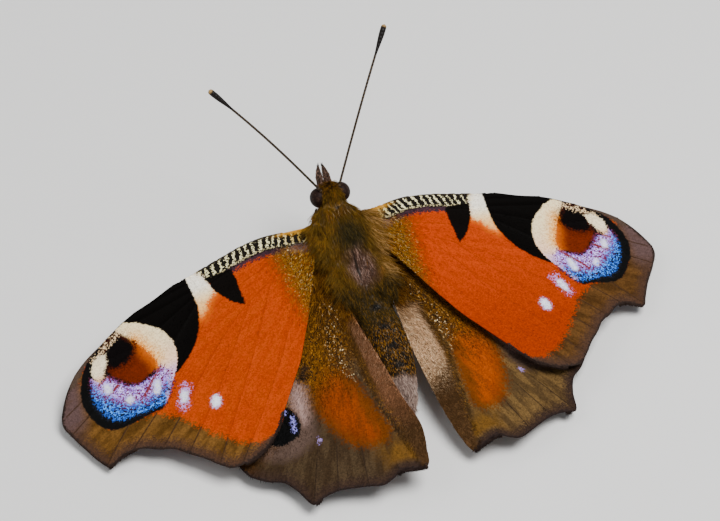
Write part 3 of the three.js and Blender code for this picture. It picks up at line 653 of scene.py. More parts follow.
    # Its core: black pupil, brick red around it, orange where it meets the ring
    f.paint((0.125, 0.013, 0.0004), f.within("core", 0.16, 0.5, 0.4))
    f.paint((0.55, 0.1, 0.003), f.within("core", 0.2, 0.5, 0.4),
            f.within("ring", 0.7, 0.5, 0.4, reach=0.55))
    f.paint((0.05, 0.006, 0.001), f.within("pupil", 0.6, 0.5, 0.4, reach=0.35), in_spot)
    f.paint((0.003, 0.002, 0.002), f.within("pupil", 0.2, 0.5, 0.35, reach=0.1), in_spot)
    f.paint((0.84, 0.6, 0.34), f.within("brow", 0.12, 0.7, 0.9), in_spot, f.specks(0.3, 0.38))
    # Behind the core: bright blue scales on black, violet ones nearer the core, and white lights
    iris = f.within("iris", 0.1, 0.5, 0.55)
    near_core = f.within("core", 0.4, 0.9, 1.1, reach=1.85)
    f.paint((0.01, 0.012, 0.02), iris)
    f.paint((0.016, 0.095, 0.5), iris, f.specks(0.42, 0.5))
    f.paint((0.06, 0.3, 0.95), iris, f.specks(0.74, 0.8))
    f.paint((0.16, 0.022, 0.06), iris, near_core)
    f.paint((0.36, 0.2, 0.76), iris, near_core, f.specks(0.3, 0.4))
    f.paint((0.62, 0.48, 0.98), iris, near_core, f.specks(0.66, 0.74))
    f.paint((0.2, 0.03, 0.04), iris, near_core, f.within("vein", 0.05, 0.1, reach=0.13))
    f.paint((0.6, 0.38, 0.74), f.within("ring", 0.3, 0.6, 0.8), in_spot, f.by_ahead(-5.9, -7.6),
            f.specks(0.2, 0.3))
    f.paint((1.0, 0.82, 0.54), f.within("crescent", 0.1, 0.35, 0.25, reach=-0.1))
    f.paint((1.0, 0.6, 0.34), f.within("crescent", 0.2, 0.35, 0.4), f.by_ahead(-4.2, -5.0))
    f.paint((0.52, 0.27, 0.6), f.within("halo", 0.15, 0.5, 0.9), f.specks(0.3, 0.4))
    f.paint((0.58, 0.54, 0.96), f.within("lights", 0.25, 0.35, 0.6, reach=0.16), f.specks(0.3, 0.4))
    f.paint((0.9, 0.92, 1.0), f.within("lights", 0.14, 0.3, 0.4))
    # The very edge, dark with frayed scales
    f.paint((0.032, 0.02, 0.016), f.within("margin", 0.06, 0.25, 0.2, reach=0.2))
    return f.finish(0.62, 0.22, 0.0 if hair else 0.35)


u = WingPaint("wing_scales_under", (0.018, 0.013, 0.011))
u.paint((0.035, 0.026, 0.022), u.within("margin", 0.8, 1.5, 0.5, reach=3.2))
under_waves = plug(u.tree, "TexWave", in_mm(u.tree), 0.55, 2.6, 3.0, 2.2).outputs["Fac"]
u.paint((0.055, 0.042, 0.034), u.rise(under_waves, 0.62, 0.9))
u.paint((0.045, 0.034, 0.028), u.within("vein", 0.05, 0.1, reach=0.08))
wing_under = u.finish(0.6, 0.3, 0.6)

fore_upper = paint_fore_wing("forewing_scales_upper", False)
fore_net = wing_net(FORE_EDGE, FORE_VEINS, 9, 0.28)
fore_wings = {}
for side, word in ((-1, "left"), (1, "right")):
    FORE_MARKS["right"] = constant((side + 1) / 2)
    wing = wing_sheet("forewing_scaled_" + word, fore_net, side, fore_place, FORE_MARKS)
    wing.data.materials.append(fore_upper)
    wing.data.materials.append(wing_under)
    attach(wing, "root")
    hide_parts("forewing_" + word)
    fore_wings[word] = wing


# Hind wings: the pair under the fore wings, wider and softer, whose inner edge folds down beside the
# abdomen like a gutter. They are made the same way, on their own net, and turned a little to the right.
# Their measures start from the hind wing's own hinge.
HIND_HINGE = (2.6, -2.6)
HIND_TURN = math.radians(5)
HIND_WING_DROP = 1.2
FOLD_WIDTH = {-1: 2.2, 1: 3.4}
FOLD_DROP = {-1: 0.45, 1: 1.5}
FOLD_CLEARANCE = {-1: -0.5, 1: -0.4}
BODY_MIDDLE = 0.35
ABDOMEN_Y = (-4.0, -17.8)
HIND_EDGE = (
    (-1.0, 0.8), (0.4, 0.95), (2.0, 1.0), (4.4, 0.5), (8.0, -1.2), (11.6, -4.2), (14.0, -8.0), (14.9, -11.3),
    (15.1, -13.7), (14.6, -15.4), (13.6, -16.6), (12.2, -17.6), (11.4, -19.0), (10.7, -20.9), (9.6, -20.7),
    (8.3, -20.8), (6.9, -21.2), (5.7, -21.75), (4.3, -22.3), (3.2, -22.15), (2.3, -21.9), (1.1, -22.25),
    (-0.1, -22.3), (-0.6, -20.5), (-0.8, -18.0), (-0.9, -15.0), (-0.8, -11.0), (-0.5, -6.5), (-0.4, -3.0),
    (-1.0, -0.9))
hind_radius = vein_line(((0, -1.0, 0.2), (2, 1.8, -1.6), (5, 6.4, -6.2), (12, 15.0, -14.0)))
hind_cubitus = vein_line(((0, -1.0, -0.25), (2, 0.9, -2.9), (5, 3.9, -8.6), (12, 10.7, -20.9)))
HIND_VEINS = (
    (vein_line(((0, -1.0, 0.5), (3, 3.6, -1.0), (7, 9.6, -4.6), (12, 14.8, -10.6))), 1),
    (vein_branch(hind_radius, 4, ((8, 11.0, -9.2), (12, 15.1, -13.7))), 1),
    (vein_branch(hind_radius, 5, ((8, 10.1, -11.0), (12, 13.9, -16.3))), 1),
    (vein_line(((0, -1.0, 0), (2, 1.4, -2.2), (5, 5.2, -8.0), (8, 8.6, -12.5), (12, 12.1, -17.7))), 0),
    (hind_cubitus, 1),
    (vein_branch(hind_cubitus, 4, ((8, 5.6, -14.6), (12, 8.2, -20.8))), 1),
    (vein_branch(hind_cubitus, 3, ((7, 3.4, -13.4), (12, 5.6, -21.8))), 1),
    (vein_line(((0, -1.0, -0.5), (3, 0.5, -5.4), (7, 1.3, -13.0), (12, 2.6, -22.0))), 1))
inner_edge = smooth_curve(HIND_EDGE[-8:], 40)
hind_edge_line = smooth_curve(HIND_EDGE, 8)


def abdomen_fullness(t):
    """Fullness of the abdomen from its waist, nought, to its tip, one."""
    front = 0.88 + 0.12 * np.sin(np.minimum(t / 0.3, 1) * np.pi / 2)
    back = np.sqrt(np.clip(1 - 0.91 * (np.clip(t - 0.35, 0, 1) / 0.65) ** 2.6, 0, 1))
    return front * back


def hind_place(side, plan, pleat):
    """The body place of the hind wing's plan: turned, clear of the abdomen, folded down beside it."""
    c, s = math.cos(HIND_TURN), side * math.sin(HIND_TURN)

    def turn(p):
        # The right wing's inner corner is drawn forward, and the left wing's inner edge drawn in
        corner = np.exp(-((p[:, 0] + 0.1) ** 2 + (p[:, 1] + 22.3) ** 2) / 13) * (1.1 if side > 0 else 0)
        edge = np.exp(-((p[:, 0] + 0.8) ** 2 + (p[:, 1] + 18.4) ** 2) / 5) * (0.5 if side < 0 else 0)
        u, v = p[:, 0] - edge, p[:, 1] + corner
        return np.stack([HIND_HINGE[0] + u * c - v * s, HIND_HINGE[1] + u * s + v * c], -1)

    gaps = np.hypot(plan[:, None, 0] - inner_edge[None, :, 0], plan[:, None, 1] - inner_edge[None, :, 1])
    away = gaps.min(1)
    spot, fold = turn(plan), turn(inner_edge[gaps.argmin(1)])
    t = np.clip((ABDOMEN_Y[0] - fold[:, 1]) / (ABDOMEN_Y[0] - ABDOMEN_Y[1]), 0, 1)
    past = (fold[:, 1] > ABDOMEN_Y[0]) | (fold[:, 1] < ABDOMEN_Y[1])
    half = np.where(past, 0, 2.0 * abdomen_fullness(t))
    limit = half + FOLD_CLEARANCE[side] + side * (BODY_MIDDLE + 0.5 * np.sin(np.pi * t))
    push = np.where(fold[:, 1] < -6, np.clip(limit - fold[:, 0], 0, 99) * np.clip(1 - away / 6, 0, 1), 0)
    down = np.clip((-fold[:, 1] - 5) / 6, 0, 1)
    drop = FOLD_DROP[side] * np.clip(1 - away / FOLD_WIDTH[side], 0, 1) ** 2 * down * down * (3 - 2 * down)
    height = wing_height(spot[:, 0], spot[:, 1]) - HIND_WING_DROP - drop
    sag = 0.12 * pleat * np.clip(away / 4, 0, 1)
    return np.stack([side * (spot[:, 0] + push), spot[:, 1], height - sag], -1)


HIND_MARKS = {
    "margin": lined(hind_edge_line[6 * 8:22 * 8]),
    "eye": outlined(
        (10.2, -10.0), (9.2, -10.6), (8.65, -11.4), (8.35, -12.2), (8.4, -13.2), (8.9, -14.1), (9.7, -14.4),
        (10.7, -14.4), (11.6, -13.9), (12.7, -12.9), (13.1, -11.6), (12.6, -10.4), (11.5, -9.8)),
    "violet": spotted(((8.85, -12.3), (9.2, -13.5), 0.24), ((9.5, -11.4), (10.8, -11.2), 0.42)),
    "patch": outlined(
        (4.6, -7.1), (5.6, -8.7), (6.4, -10.4), (6.7, -12.2), (6.6, -13.9), (6.1, -15.8), (5.2, -17.6),
        (3.5, -18.7),
        (2.2, -18.7), (1.6, -17.6), (1.8, -15.1), (2.1, -12.5), (2.8, -9.6), (3.7, -7.6)),
    "flakes": outlined(
        (1.8, -3.1), (3.1, -6.0), (3.8, -9.6), (2.9, -11.4), (2.0, -12.6), (1.4, -9.4), (0.5, -6.0),
        (0.2, -3.4)),
    "pale": outlined(
        (8.3, -11.4), (8.2, -10.4), (7.6, -9.5), (7.0, -9.5), (6.8, -10.3), (7.1, -11.4), (7.6, -12.7),
        (8.0, -13.3),
        (8.2, -12.4)),
    "blot": spotted(((5.8, -8.5), (6.4, -9.2), 0.42)),
    "dot": spotted(((7.6, -15.45), (7.75, -15.75), 0.13)),
}

# The gutter of each side, from the abdomen out to the line where the wing turns down into it
GUTTER_LINE = {
    -1: ((0.0, 0.0), (0.0, -4.0), (0.35, -6.9), (0.83, -9.5), (1.03, -12.3), (1.01, -15.1), (0.98, -18.8),
         (0.6, -20.6)),
    1: ((0.6, 0.0), (0.7, -4.5), (1.3, -7.0), (1.65, -10.0), (1.7, -11.7), (1.4, -13.8), (1.1, -16.4),
        (0.6, -19.8))}


def paint_hind_wing(name, hair):
    """The markings of the hind wing, for its scales or for the hair on them."""
    h = WingPaint(name, (0.036, 0.021, 0.01), hair=hair)
    # Painted light: the right hind wing takes lighter copies of its colours, here and below, for the side the
    # light falls on
    lit_side = h.value("right")
    # Olive brown border in streaks, darker and purplish at the edge, with dark vein lines; painted lighter on
    # the right wing as painted light
    h.paint((0.065, 0.037, 0.014), lit_side)
    h.paint(h.mix(lit_side, (0.056, 0.035, 0.017), (0.13, 0.074, 0.024)), h.streaks(0.42, 0.62))
    h.paint((0.034, 0.019, 0.013), h.within("margin", 0.6, 1.0, 0.4, reach=0.9))
    h.paint((0.022, 0.013, 0.008), h.within("vein", 0.05, 0.1, reach=0.04), h.by_ahead(-15.5, -18.0))
    # Purplish brown round the black spot
    h.paint((0.085, 0.053, 0.04), h.within("eye", 0.6, 0.9, 0.5, reach=1.5), h.by_out(6.0, 7.4))
    # Orange field, browner among golden hair scales towards the root, and painted lighter on the right wing
    # as painted light
    h.paint((0.12, 0.03, 0.002), h.within("patch", 0.5, 1.3, 0.6))
    field = h.mix(lit_side, (0.165, 0.028, 0.0008), (0.25, 0.04, 0.001))
    field_light = h.mix(lit_side, (0.225, 0.036, 0.0008), (0.31, 0.05, 0.001))
    h.paint(h.mix(h.streaks(0.42, 0.58), field, field_light), h.within("patch", 0.8, 1.5, 0.6, reach=-0.7),
            h.by_ahead(-7.2, -11.5))
    h.paint((0.13, 0.033, 0.002), h.within("patch", 0.6, 1.5, 0.6, reach=-0.2),
            h.within("gutter", 1.0, 1.6, 0.8, reach=2.1), h.streaks(0.66, 0.42))
    root_far = h.step("MULTIPLY_ADD", h.out, -0.35, h.step("MULTIPLY", h.ahead, -1.0))
    gold_zone = h.within(root_far, 2.6, 2.0, 1.6, reach=8.8)
    h.paint((0.13, 0.048, 0.005), gold_zone)
    h.paint((0.022, 0.014, 0.006), gold_zone, h.specks(0.22, 0.16))
    h.paint((0.26, 0.108, 0.011), gold_zone, h.specks(0.7, 0.8))
    # Flakes of black and cream scales between the orange and the fold; a pale pinkish streak and a dark blot
    # in front of the black spot
    flakes = h.both(h.within("flakes", 0.8, 1.2, 0.8), h.rise(h.scales.outputs["Fray"], 0.42, 0.58))
    h.paint((0.018, 0.012, 0.008), flakes, h.specks(0.45, 0.51))
    h.paint((0.36, 0.2, 0.05), flakes, h.specks(0.82, 0.85))
    cream_from = 0.975 if hair else 0.93
    h.paint((0.74, 0.58, 0.34), flakes, h.specks(cream_from, cream_from + 0.02))
    h.paint((0.4, 0.26, 0.23), h.within("pale", 0.8, 0.8, 0.5))
    h.paint((0.03, 0.017, 0.01), h.within("blot", 0.35, 0.5, 0.3))
    # Golden brown corner beside the fold
    h.paint((0.12, 0.055, 0.009), h.within("gutter", 1.2, 1.2, 0.6, reach=2.6), h.by_ahead(-17.6, -20.0),
            h.rise(h.value("margin"), 0.5, 1.3), h.streaks(0.2, 0.6))
    # The gutter: on the left brown with a dusky shine; on the right pale beige, a painted sheen where the
    # slanted fold faces the light; both darken towards the end
    gutter = h.both(h.within("gutter", 0.25, 0.4, 0.3), h.by_ahead(-5.0, -7.6))
    front_tone = h.mix(lit_side, (0.2, 0.085, 0.038), (0.66, 0.4, 0.215))
    rear_tone = h.mix(lit_side, (0.066, 0.032, 0.012), (0.082, 0.04, 0.015))
    turn_pale = h.step("MULTIPLY_ADD", h.scales.outputs["Drift"], 3.0, h.ahead)
    turn_pale = h.step("MULTIPLY_ADD", lit_side, -4.0, turn_pale)
    h.paint(h.mix(h.rise(turn_pale, -13.2, -17.2), front_tone, rear_tone), gutter)
    # Pale streaks in front, much lighter on the right, where they are part of the painted sheen
    streaks = h.specks(0.72, 0.8)
    h.paint(h.mix(lit_side, (0.27, 0.14, 0.075), (0.85, 0.6, 0.36)), gutter, streaks,
            h.by_ahead(-16.0, -11.0))
    h.paint((0.1, 0.05, 0.02), gutter, h.specks(0.16, 0.1))
    h.paint((0.1, 0.046, 0.012), h.within("gutter", 0.3, 0.6, 0.6, reach=0.3),
            h.rise(h.value("gutter"), -0.5, -0.1), h.by_ahead(-5.5, -8.0), h.by_ahead(-15.5, -12.5))
    # Golden scales along the fold, most on its outer side
    h.paint((0.22, 0.096, 0.016), h.within("gutter", 0.4, 0.8, 0.8, reach=0.7),
            h.rise(h.value("gutter"), -0.7, 0.0), h.by_ahead(-8.0, -10.0), h.by_ahead(-20.0, -16.5),
            h.specks(0.82, 0.87))
    # Black spot with violet-blue scales, and a small violet dot
    h.paint((0.004, 0.004, 0.004), h.within("eye", 0.08, 0.3, 0.15))
    h.paint((0.34, 0.32, 0.86), h.within("violet", 0.12, 0.35, 0.45), h.specks(0.25, 0.35))
    h.paint((0.32, 0.22, 0.52), h.within("dot", 0.08, 0.3, 0.35))
    h.paint((0.024, 0.015, 0.013), h.within("margin", 0.06, 0.25, 0.2, reach=0.2))
    return h.finish(0.62, 0.26, 0.0 if hair else 0.55)


hind_upper = paint_hind_wing("hindwing_scales_upper", False)
hind_net = wing_net(HIND_EDGE, HIND_VEINS, 8, 0.28)
hind_wings = {}
for side, word in ((-1, "left"), (1, "right")):
    HIND_MARKS["gutter"] = outlined(*GUTTER_LINE[side], (0.2, -24), (-4, -24), (-4, 0))
    HIND_MARKS["right"] = constant((side + 1) / 2)
    wing = wing_sheet("hindwing_scaled_" + word, hind_net, side, hind_place, HIND_MARKS)
    wing.data.materials.append(hind_upper)
    wing.data.materials.append(wing_under)
    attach(wing, "root")
    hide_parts("hindwing_" + word)
    hind_wings[word] = wing

# Body: head, thorax and abdomen under one soft skin, covered with hair that lies back along the body.
# The skin is drawn over the solid parts, sealed at neck and waist, and sunk by the depth of the coat.
THORAX_MIDDLE = np.array((0.35, -0.9, 6.35))
THORAX_PITCH = math.radians(32)
THORAX_COS, THORAX_SIN = math.cos(THORAX_PITCH), math.sin(THORAX_PITCH)
HEAD_OUT, HEAD_ALONG, HEAD_LIFT = 0.2, 5.4, 0.3
SOLID_HEAD_ALONG = 5.65
COAT_DEPTH = 0.14
SWELL = 0.26


def from_thorax(out, along, lift):
    """A place out to the right, forward along the thorax and above its middle, in body millimetres."""
    return THORAX_MIDDLE + np.array((out, along * THORAX_COS - lift * THORAX_SIN,
                                     along * THORAX_SIN + lift * THORAX_COS))


def from_head(out, along, lift):
    """A place measured from the head's middle; the head is held a little to the right and drawn in."""
    return from_thorax(HEAD_OUT + out, HEAD_ALONG + along, HEAD_LIFT + lift)


def in_frame(place):
    return BODY_SHIFT + Vector(place) / 1000


def body_spots(mesh):
    """Where the points of a mesh lie, in body millimetres."""
    return np.array([v.co[:] for v in mesh.vertices]) * 1000 - 1000 * np.array(BODY_SHIFT)


bpy.ops.object.select_all(action="DESELECT")
body_parts = []
for node_name in ("thorax", "head", "abdomen"):
    part = bpy.data.objects.new("skin_of_" + node_name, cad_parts[node_name].data.copy())
    bpy.context.scene.collection.objects.link(part)
    part.data.materials.clear()
    body_parts.append(part)
    if node_name == "head":
        drawn_in = in_frame(from_head(0, 0, 0)) - in_frame(from_thorax(0, SOLID_HEAD_ALONG, HEAD_LIFT))
        part.data.transform(Matrix.Translation(drawn_in))
# Eggs fill out what the hair hides: the waist, the neck, the shoulders over the fore wing roots and the
# flanks over the hind wing roots. Each is a middle, three half sizes and its slope along the body.
FILLINGS = [((0.5, -5.1, 5.15), (2.1, 2.6, 1.95), 0.3), ((0.5, 2.1, 8.5), (1.35, 1.7, 1.2), 0.5)]
for side in (-1, 1):
    FILLINGS.append(((BODY_MIDDLE + side * 2.2, -0.75, 8.4), (1.15, 2.3, 1.0), 0.25))
    FILLINGS.append(((0.45 + side * 1.8, -4.8, 6.8), (1.2, 3.4, 1.1), 0.6))
for middle, sizes, slope in FILLINGS:
    bpy.ops.mesh.primitive_uv_sphere_add(segments=32, ring_count=20, radius=1, location=(0, 0, 0))
    filling = bpy.context.active_object
    for corner in filling.data.vertices:
        across, along, above = corner.co
        corner.co = in_frame((middle[0] + sizes[0] * across, middle[1] + sizes[1] * along,
                              middle[2] + slope * along + sizes[2] * above))
    body_parts.append(filling)
for part in body_parts:
    part.select_set(True)
bpy.context.view_layer.objects.active = body_parts[0]
bpy.ops.object.join()
skin = bpy.context.active_object
skin.name = "body_skin"
weld(0.00001)
for step_name, depth in (("swell", SWELL), ("sink", -SWELL - COAT_DEPTH)):
    swell = skin.modifiers.new(step_name, "DISPLACE")
    swell.mid_level = 0
    swell.strength = depth / 1000
    bpy.ops.object.modifier_apply(modifier=step_name)
    seal = skin.modifiers.new("seal", "REMESH")
    seal.mode = "VOXEL"
    seal.voxel_size = 0.00017
    bpy.ops.object.modifier_apply(modifier="seal")
    ease = skin.modifiers.new("ease", "SMOOTH")
    ease.factor = 0.6
    ease.iterations = 2
    bpy.ops.object.modifier_apply(modifier="ease")
bpy.ops.object.shade_smooth()
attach(skin, "root")
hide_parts("thorax", "head", "abdomen")

# One group holds the body's markings, for the skin and for every coat on it: the colour at a place on the
# body, with flecks that each tuft or scale turns on by its own random value.
fur, marks_from, marks_to = new_group("body_marks", [("Fleck", "Float")], [("Colour", "Color")])
body_place = in_mm(fur, tuple(-1000 * BODY_SHIFT))
body_axis = plug(fur, "SeparateXYZ", body_place).outputs
body_noise = noise(fur, body_place, 1.1, 3.0)
lock_place = plug(fur, "Mapping", body_place, None, None, (1.9, 0.42, 0.9)).outputs[0]
locks = noise(fur, lock_place, 1.0, 3.0)


def egg_patch(middle, radii, soft):
    """One inside an egg-shaped region of the body, nought outside it, with a ragged edge."""
    moved = plug(fur, "VectorMath", body_place, tuple(middle), operation="SUBTRACT").outputs[0]
    stretched = plug(fur, "VectorMath", moved, tuple(radii), operation="DIVIDE").outputs[0]
    far = plug(fur, "VectorMath", stretched, operation="LENGTH").outputs["Value"]
    ragged = sum_up(fur, "MULTIPLY_ADD", sum_up(fur, "SUBTRACT", body_noise, 0.5), 0.7, far)
    return ramp(fur, ragged, 1 + soft, 1 - soft)


def flecks(tree, fleck, share):
    """One on a share of the tufts, by their own random value."""
    return ramp(tree, fleck, 1 - share - 0.03, 1 - share + 0.03)


def flecked(base, fleck_colour, share):
    """A colour with flecks of another over a share of the tufts."""
    return lay(fur, flecks(fur, marks_from["Fleck"], share), base, fleck_colour)


underside = ramp(fur, sum_up(fur, "MULTIPLY_ADD", body_axis[1], -0.174, body_axis[2]), 5.2, 4.2)
brush_place = sum_up(fur, "MULTIPLY_ADD", body_noise, 1.2, body_axis[1])
colour = flecked(flecked((0.15, 0.072, 0.005), (0.29, 0.14, 0.012), 0.35), (0.07, 0.036, 0.006), 0.12)
for mask, over in (
        # Golden brown hair, with darker and lighter locks along the body, and on the right side only, over
        # the right wing, lighter tan hair as painted light
        (ramp(fur, locks, 0.50, 0.64), flecked((0.055, 0.027, 0.003), (0.15, 0.070, 0.006), 0.3)),
        (ramp(fur, locks, 0.44, 0.32), flecked((0.20, 0.080, 0.007), (0.33, 0.135, 0.014), 0.4)),
        (ramp(fur, body_noise, 0.4, 0.62), flecked((0.105, 0.056, 0.005), (0.18, 0.092, 0.009), 0.4)),
        (ramp(fur, body_axis[0], 2.2, 3.2), flecked((0.22, 0.105, 0.014), (0.44, 0.24, 0.075), 0.4)),
        # Greenish black on the middle of the back, a purplish grey shield behind it with pale flecks that are
        # painted glints, and a dark line on that
        (egg_patch((0.8, -1.5, 9.0), (1.4, 1.6, 2.0), 0.6),
         flecked((0.030, 0.022, 0.005), (0.08, 0.052, 0.010), 0.35)),
        (egg_patch((0.75, -4.5, 7.8), (1.3, 2.1, 1.7), 0.45),
         flecked((0.105, 0.052, 0.034), (0.40, 0.24, 0.18), 0.2)),
        (egg_patch((0.45, -4.0, 7.9), (0.12, 1.3, 1.6), 0.5), (0.03, 0.018, 0.012)),
        # Abdomen: olive brown in front, then black brown with golden and a few pale flecks
        (ramp(fur, body_axis[1], -5.2, -7.0), flecked((0.040, 0.024, 0.004), (0.14, 0.070, 0.008), 0.25)),
        (ramp(fur, body_axis[1], -8.8, -11.0),
         flecked(flecked((0.016, 0.010, 0.004), (0.30, 0.12, 0.006), 0.27), (0.48, 0.32, 0.16), 0.03)),
        # Dark spots down the middle of its back
        *((egg_patch((0.75, spot_y, 6.4), (0.5, 0.34, 3.0), 0.7),
           flecked((0.010, 0.009, 0.008), (0.12, 0.09, 0.06), 0.10))
          for spot_y in (-8.1, -10.3, -12.4, -14.2)),
        # Dark brown underneath, and a grey brown brush at the tip
        (underside, flecked((0.035, 0.024, 0.015), (0.08, 0.055, 0.03), 0.3)),
        (ramp(fur, brush_place, -14.2, -15.2), flecked((0.25, 0.165, 0.13), (0.46, 0.33, 0.27), 0.4)),
        # Head: golden brown flecks on dark, a collar with pale flecks that are painted glints, and a small
        # dark spot in front of it
        (ramp(fur, body_axis[1], 2.6, 3.3), flecked((0.020, 0.009, 0.002), (0.23, 0.098, 0.008), 0.36)),
        (egg_patch(from_thorax(0.3, 3.4, 1.9), (0.9, 0.45, 0.9), 0.5),
         flecked((0.13, 0.058, 0.006), (0.55, 0.38, 0.2), 0.12)),
        (egg_patch(from_thorax(0.25, 4.3, 1.9), (0.3, 0.3, 0.6), 0.25), (0.012, 0.008, 0.006))):
    colour = lay(fur, mask, colour, over)
fur.links.new(colour, marks_to["Colour"])


def coat_material(name, group, darkness, roughness):
    """A hair material: the markings at each tuft, darker at its root, and a soft lustre."""
    made, tree, shader = new_look(name)
    tint = kept_value(tree, "tint")
    shade = carry(tree, kept_value(tree, "tip"), 0.0, 1.0, darkness, 1.35)
    colour = scaled(tree, use_group(tree, group, tint).outputs[0], shade)
    finish_look(tree, shader, colour, carry(tree, tint, 0.0, 1.0, roughness - 0.1, roughness + 0.15), 0.12)
    return made


skin_look, skin_tree, skin_shader = new_look("body_skin_look")
skin_scales = use_group(skin_tree, scale_group, 10).outputs
skin_shade = carry(skin_tree, skin_scales["Fray"], 0.0, 1.0, 0.45, 0.95)
skin_colour = scaled(skin_tree, use_group(skin_tree, fur, skin_scales["Speck"]).outputs[0], skin_shade)
skin_rough = carry(skin_tree, skin_scales["Speck"], 0.0, 1.0, 0.5, 0.75)
finish_look(skin_tree, skin_shader, skin_colour, skin_rough, 0.5, skin_scales["Height"], 0.7, 0.06)
skin.data.materials.append(skin_look)

# Coats: thousands of copies of one small tuft, a three-sided spindle that thins to a point, each bent
# along the lie of the hair. Every tuft has its own patch on the map OFBake, at its root on the unrolled skin.
BAKE_PATCH = 0.003
FLOOR_CLEARANCE = 0.02
draw = np.random.default_rng(11)
bpy.ops.object.select_all(action="DESELECT")
bpy.ops.mesh.primitive_uv_sphere_add(segments=3, ring_count=3, radius=1, location=(0, 0, 0))
tuft_form = bpy.context.active_object
bpy.ops.object.mode_set(mode="EDIT")
bpy.ops.mesh.select_all(action="SELECT")
bpy.ops.mesh.quads_convert_to_tris()
bpy.ops.object.mode_set(mode="OBJECT")
FORM_POINTS = np.array([v.co[:] for v in tuft_form.data.vertices])
FORM_FACES = np.array([f.vertices[:] for f in tuft_form.data.polygons])
bpy.data.objects.remove(tuft_form)


def lay_coat(name, roots, normals, lies, lengths, width, lift, curl, unwrap, lift_range=(0.5, 1.4)):
    """One mesh of tufts from rows of roots, normals and directions in body millimetres."""
    count = len(roots)
    widths = width * draw.uniform(0.7, 1.3, count)
    lifts = lift * draw.uniform(*lift_range, count)
    curls = curl * draw.uniform(0.7, 1.1, count)
    tints = draw.random(count)
    lies = lies - normals * (lies * normals).sum(1, keepdims=True)
    lies = lies / np.maximum(np.linalg.norm(lies, axis=1, keepdims=True), 1e-6)
    across = np.cross(lies, normals)
    t = (FORM_POINTS[:, 2] + 1) / 2
    t = np.where(t > 0.9, 1.0, np.where(t > 0.5, 0.66, np.where(t > 0.1, 0.22, 0.0)))
    taper = np.where(t > 0.5, 0.75, 1.0)
    run = lengths[:, None] * np.cos(lifts)[:, None] * t
    rise = lengths[:, None] * (np.sin(lifts)[:, None] * t - curls[:, None] * t * t) - 0.03 * (t == 0)
    points = roots[:, None] + run[..., None] * lies[:, None] + rise[..., None] * normals[:, None]
    points = points + (widths[:, None] * FORM_POINTS[:, 0] * taper)[..., None] * across[:, None]
    points = points + (0.5 * widths[:, None] * FORM_POINTS[:, 1] * taper)[..., None] * normals[:, None]
    points[..., 2] = np.maximum(points[..., 2], FLOOR_CLEARANCE)
    faces = (FORM_FACES[None] + (np.arange(count) * len(FORM_POINTS))[:, None, None]).reshape(-1, 3)
    mesh = bpy.data.meshes.new(name)
    mesh.vertices.add(count * len(FORM_POINTS))
    mesh.vertices.foreach_set("co", (np.array(BODY_SHIFT) + points / 1000).astype(np.float32).ravel())
    mesh.loops.add(faces.size)
    mesh.loops.foreach_set("vertex_index", faces.ravel().astype(np.int32))
    mesh.polygons.add(len(faces))
    mesh.polygons.foreach_set("loop_start", np.arange(0, faces.size, 3, dtype=np.int32))
    mesh.polygons.foreach_set("use_smooth", np.ones(len(faces), bool))
    keep(mesh, "tint", np.repeat(tints, len(t)))
    keep(mesh, "tip", np.tile(t, count))
    corner = unwrap[:, None] + BAKE_PATCH / 2 * np.stack([FORM_POINTS[:, 0], 2 * t - 1], -1)[None]
    bake_map = mesh.uv_layers.new(name="OFBake")
    bake_map.data.foreach_set("uv", corner.reshape(-1, 2)[faces.ravel()].astype(np.float32).ravel())
    mesh.update()
    coat = bpy.data.objects.new(name, mesh)
    bpy.context.scene.collection.objects.link(coat)
    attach(coat, "root")
    return coat


def sow(obj, count, weight):
    """Roots and normals for tufts, drawn evenly over a mesh and thinned by a weight on each face's middle."""
    mesh = obj.data
    mesh.calc_loop_triangles()
    corners = np.array([tri.vertices[:] for tri in mesh.loop_triangles])
    spots = body_spots(mesh)
    facing = np.array([v.normal[:] for v in mesh.vertices])
    a, b, c = (spots[corners[:, n]] for n in range(3))
    area = np.linalg.norm(np.cross(b - a, c - a), axis=1) / 2
    share = area * weight((a + b + c) / 3, facing[corners].mean(1), corners)
    picked = draw.choice(len(corners), count, p=share / share.sum())
    u, v = draw.random(count), draw.random(count)
    u, v = np.where(u + v > 1, 1 - u, u), np.where(u + v > 1, 1 - v, v)
    w = np.stack([1 - u - v, u, v], -1)[..., None]
    normals = (facing[corners[picked]] * w).sum(1)
    normals /= np.linalg.norm(normals, axis=1, keepdims=True)
    return (spots[corners[picked]] * w).sum(1), normals, corners[picked], w


def sway(places, scale, seed):
    """A slow wandering between minus one and one, for locks that lean together."""
    shift = np.array((1.3, 2.1, 0.7)) * seed
    q = places * scale + shift
    return np.sin(q[:, 0] + 1.7 * np.sin(q[:, 1] * 0.8)) * np.cos(q[:, 1] * 1.3 + np.sin(q[:, 2] * 1.1))


def unroll(places):
    """The skin unrolled about the body's long axis, as a map from nought to one."""
    middle_z = np.interp(places[:, 1], (-17.8, -4, 0, 4), (2.6, 5.0, 6.9, 9.2))
    turn = np.arctan2(places[:, 0] - 0.5, places[:, 2] - middle_z) / (2 * np.pi) + 0.5
    return np.stack([0.04 + 0.92 * turn, 0.04 + 0.92 * (places[:, 1] + 19) / 26], -1)


def comb(places, normals):
    """The lie of the body hair: back along the body, spreading a little to the sides on the thorax."""
    pitch = np.interp(places[:, 1], (-6, -3, 3), (0.16, 0.45, 0.62))
    lie = np.stack([np.zeros(len(places)), -np.cos(pitch), -np.sin(pitch)], -1)
    spread = np.interp(places[:, 1], (-6, -2, 2, 4), (0.1, 0.35, 0.40, 0.1))
    out = places[:, 0] - BODY_MIDDLE
    lie[:, 0] += spread * np.sign(out) * np.clip(np.abs(out) / 2, 0, 1)
    lie[:, 0] += 0.28 * sway(places, 2.4, 1) + 0.16 * draw.standard_normal(len(places))
    lie[:, 1] += 0.08 * draw.standard_normal(len(places))
    return lie


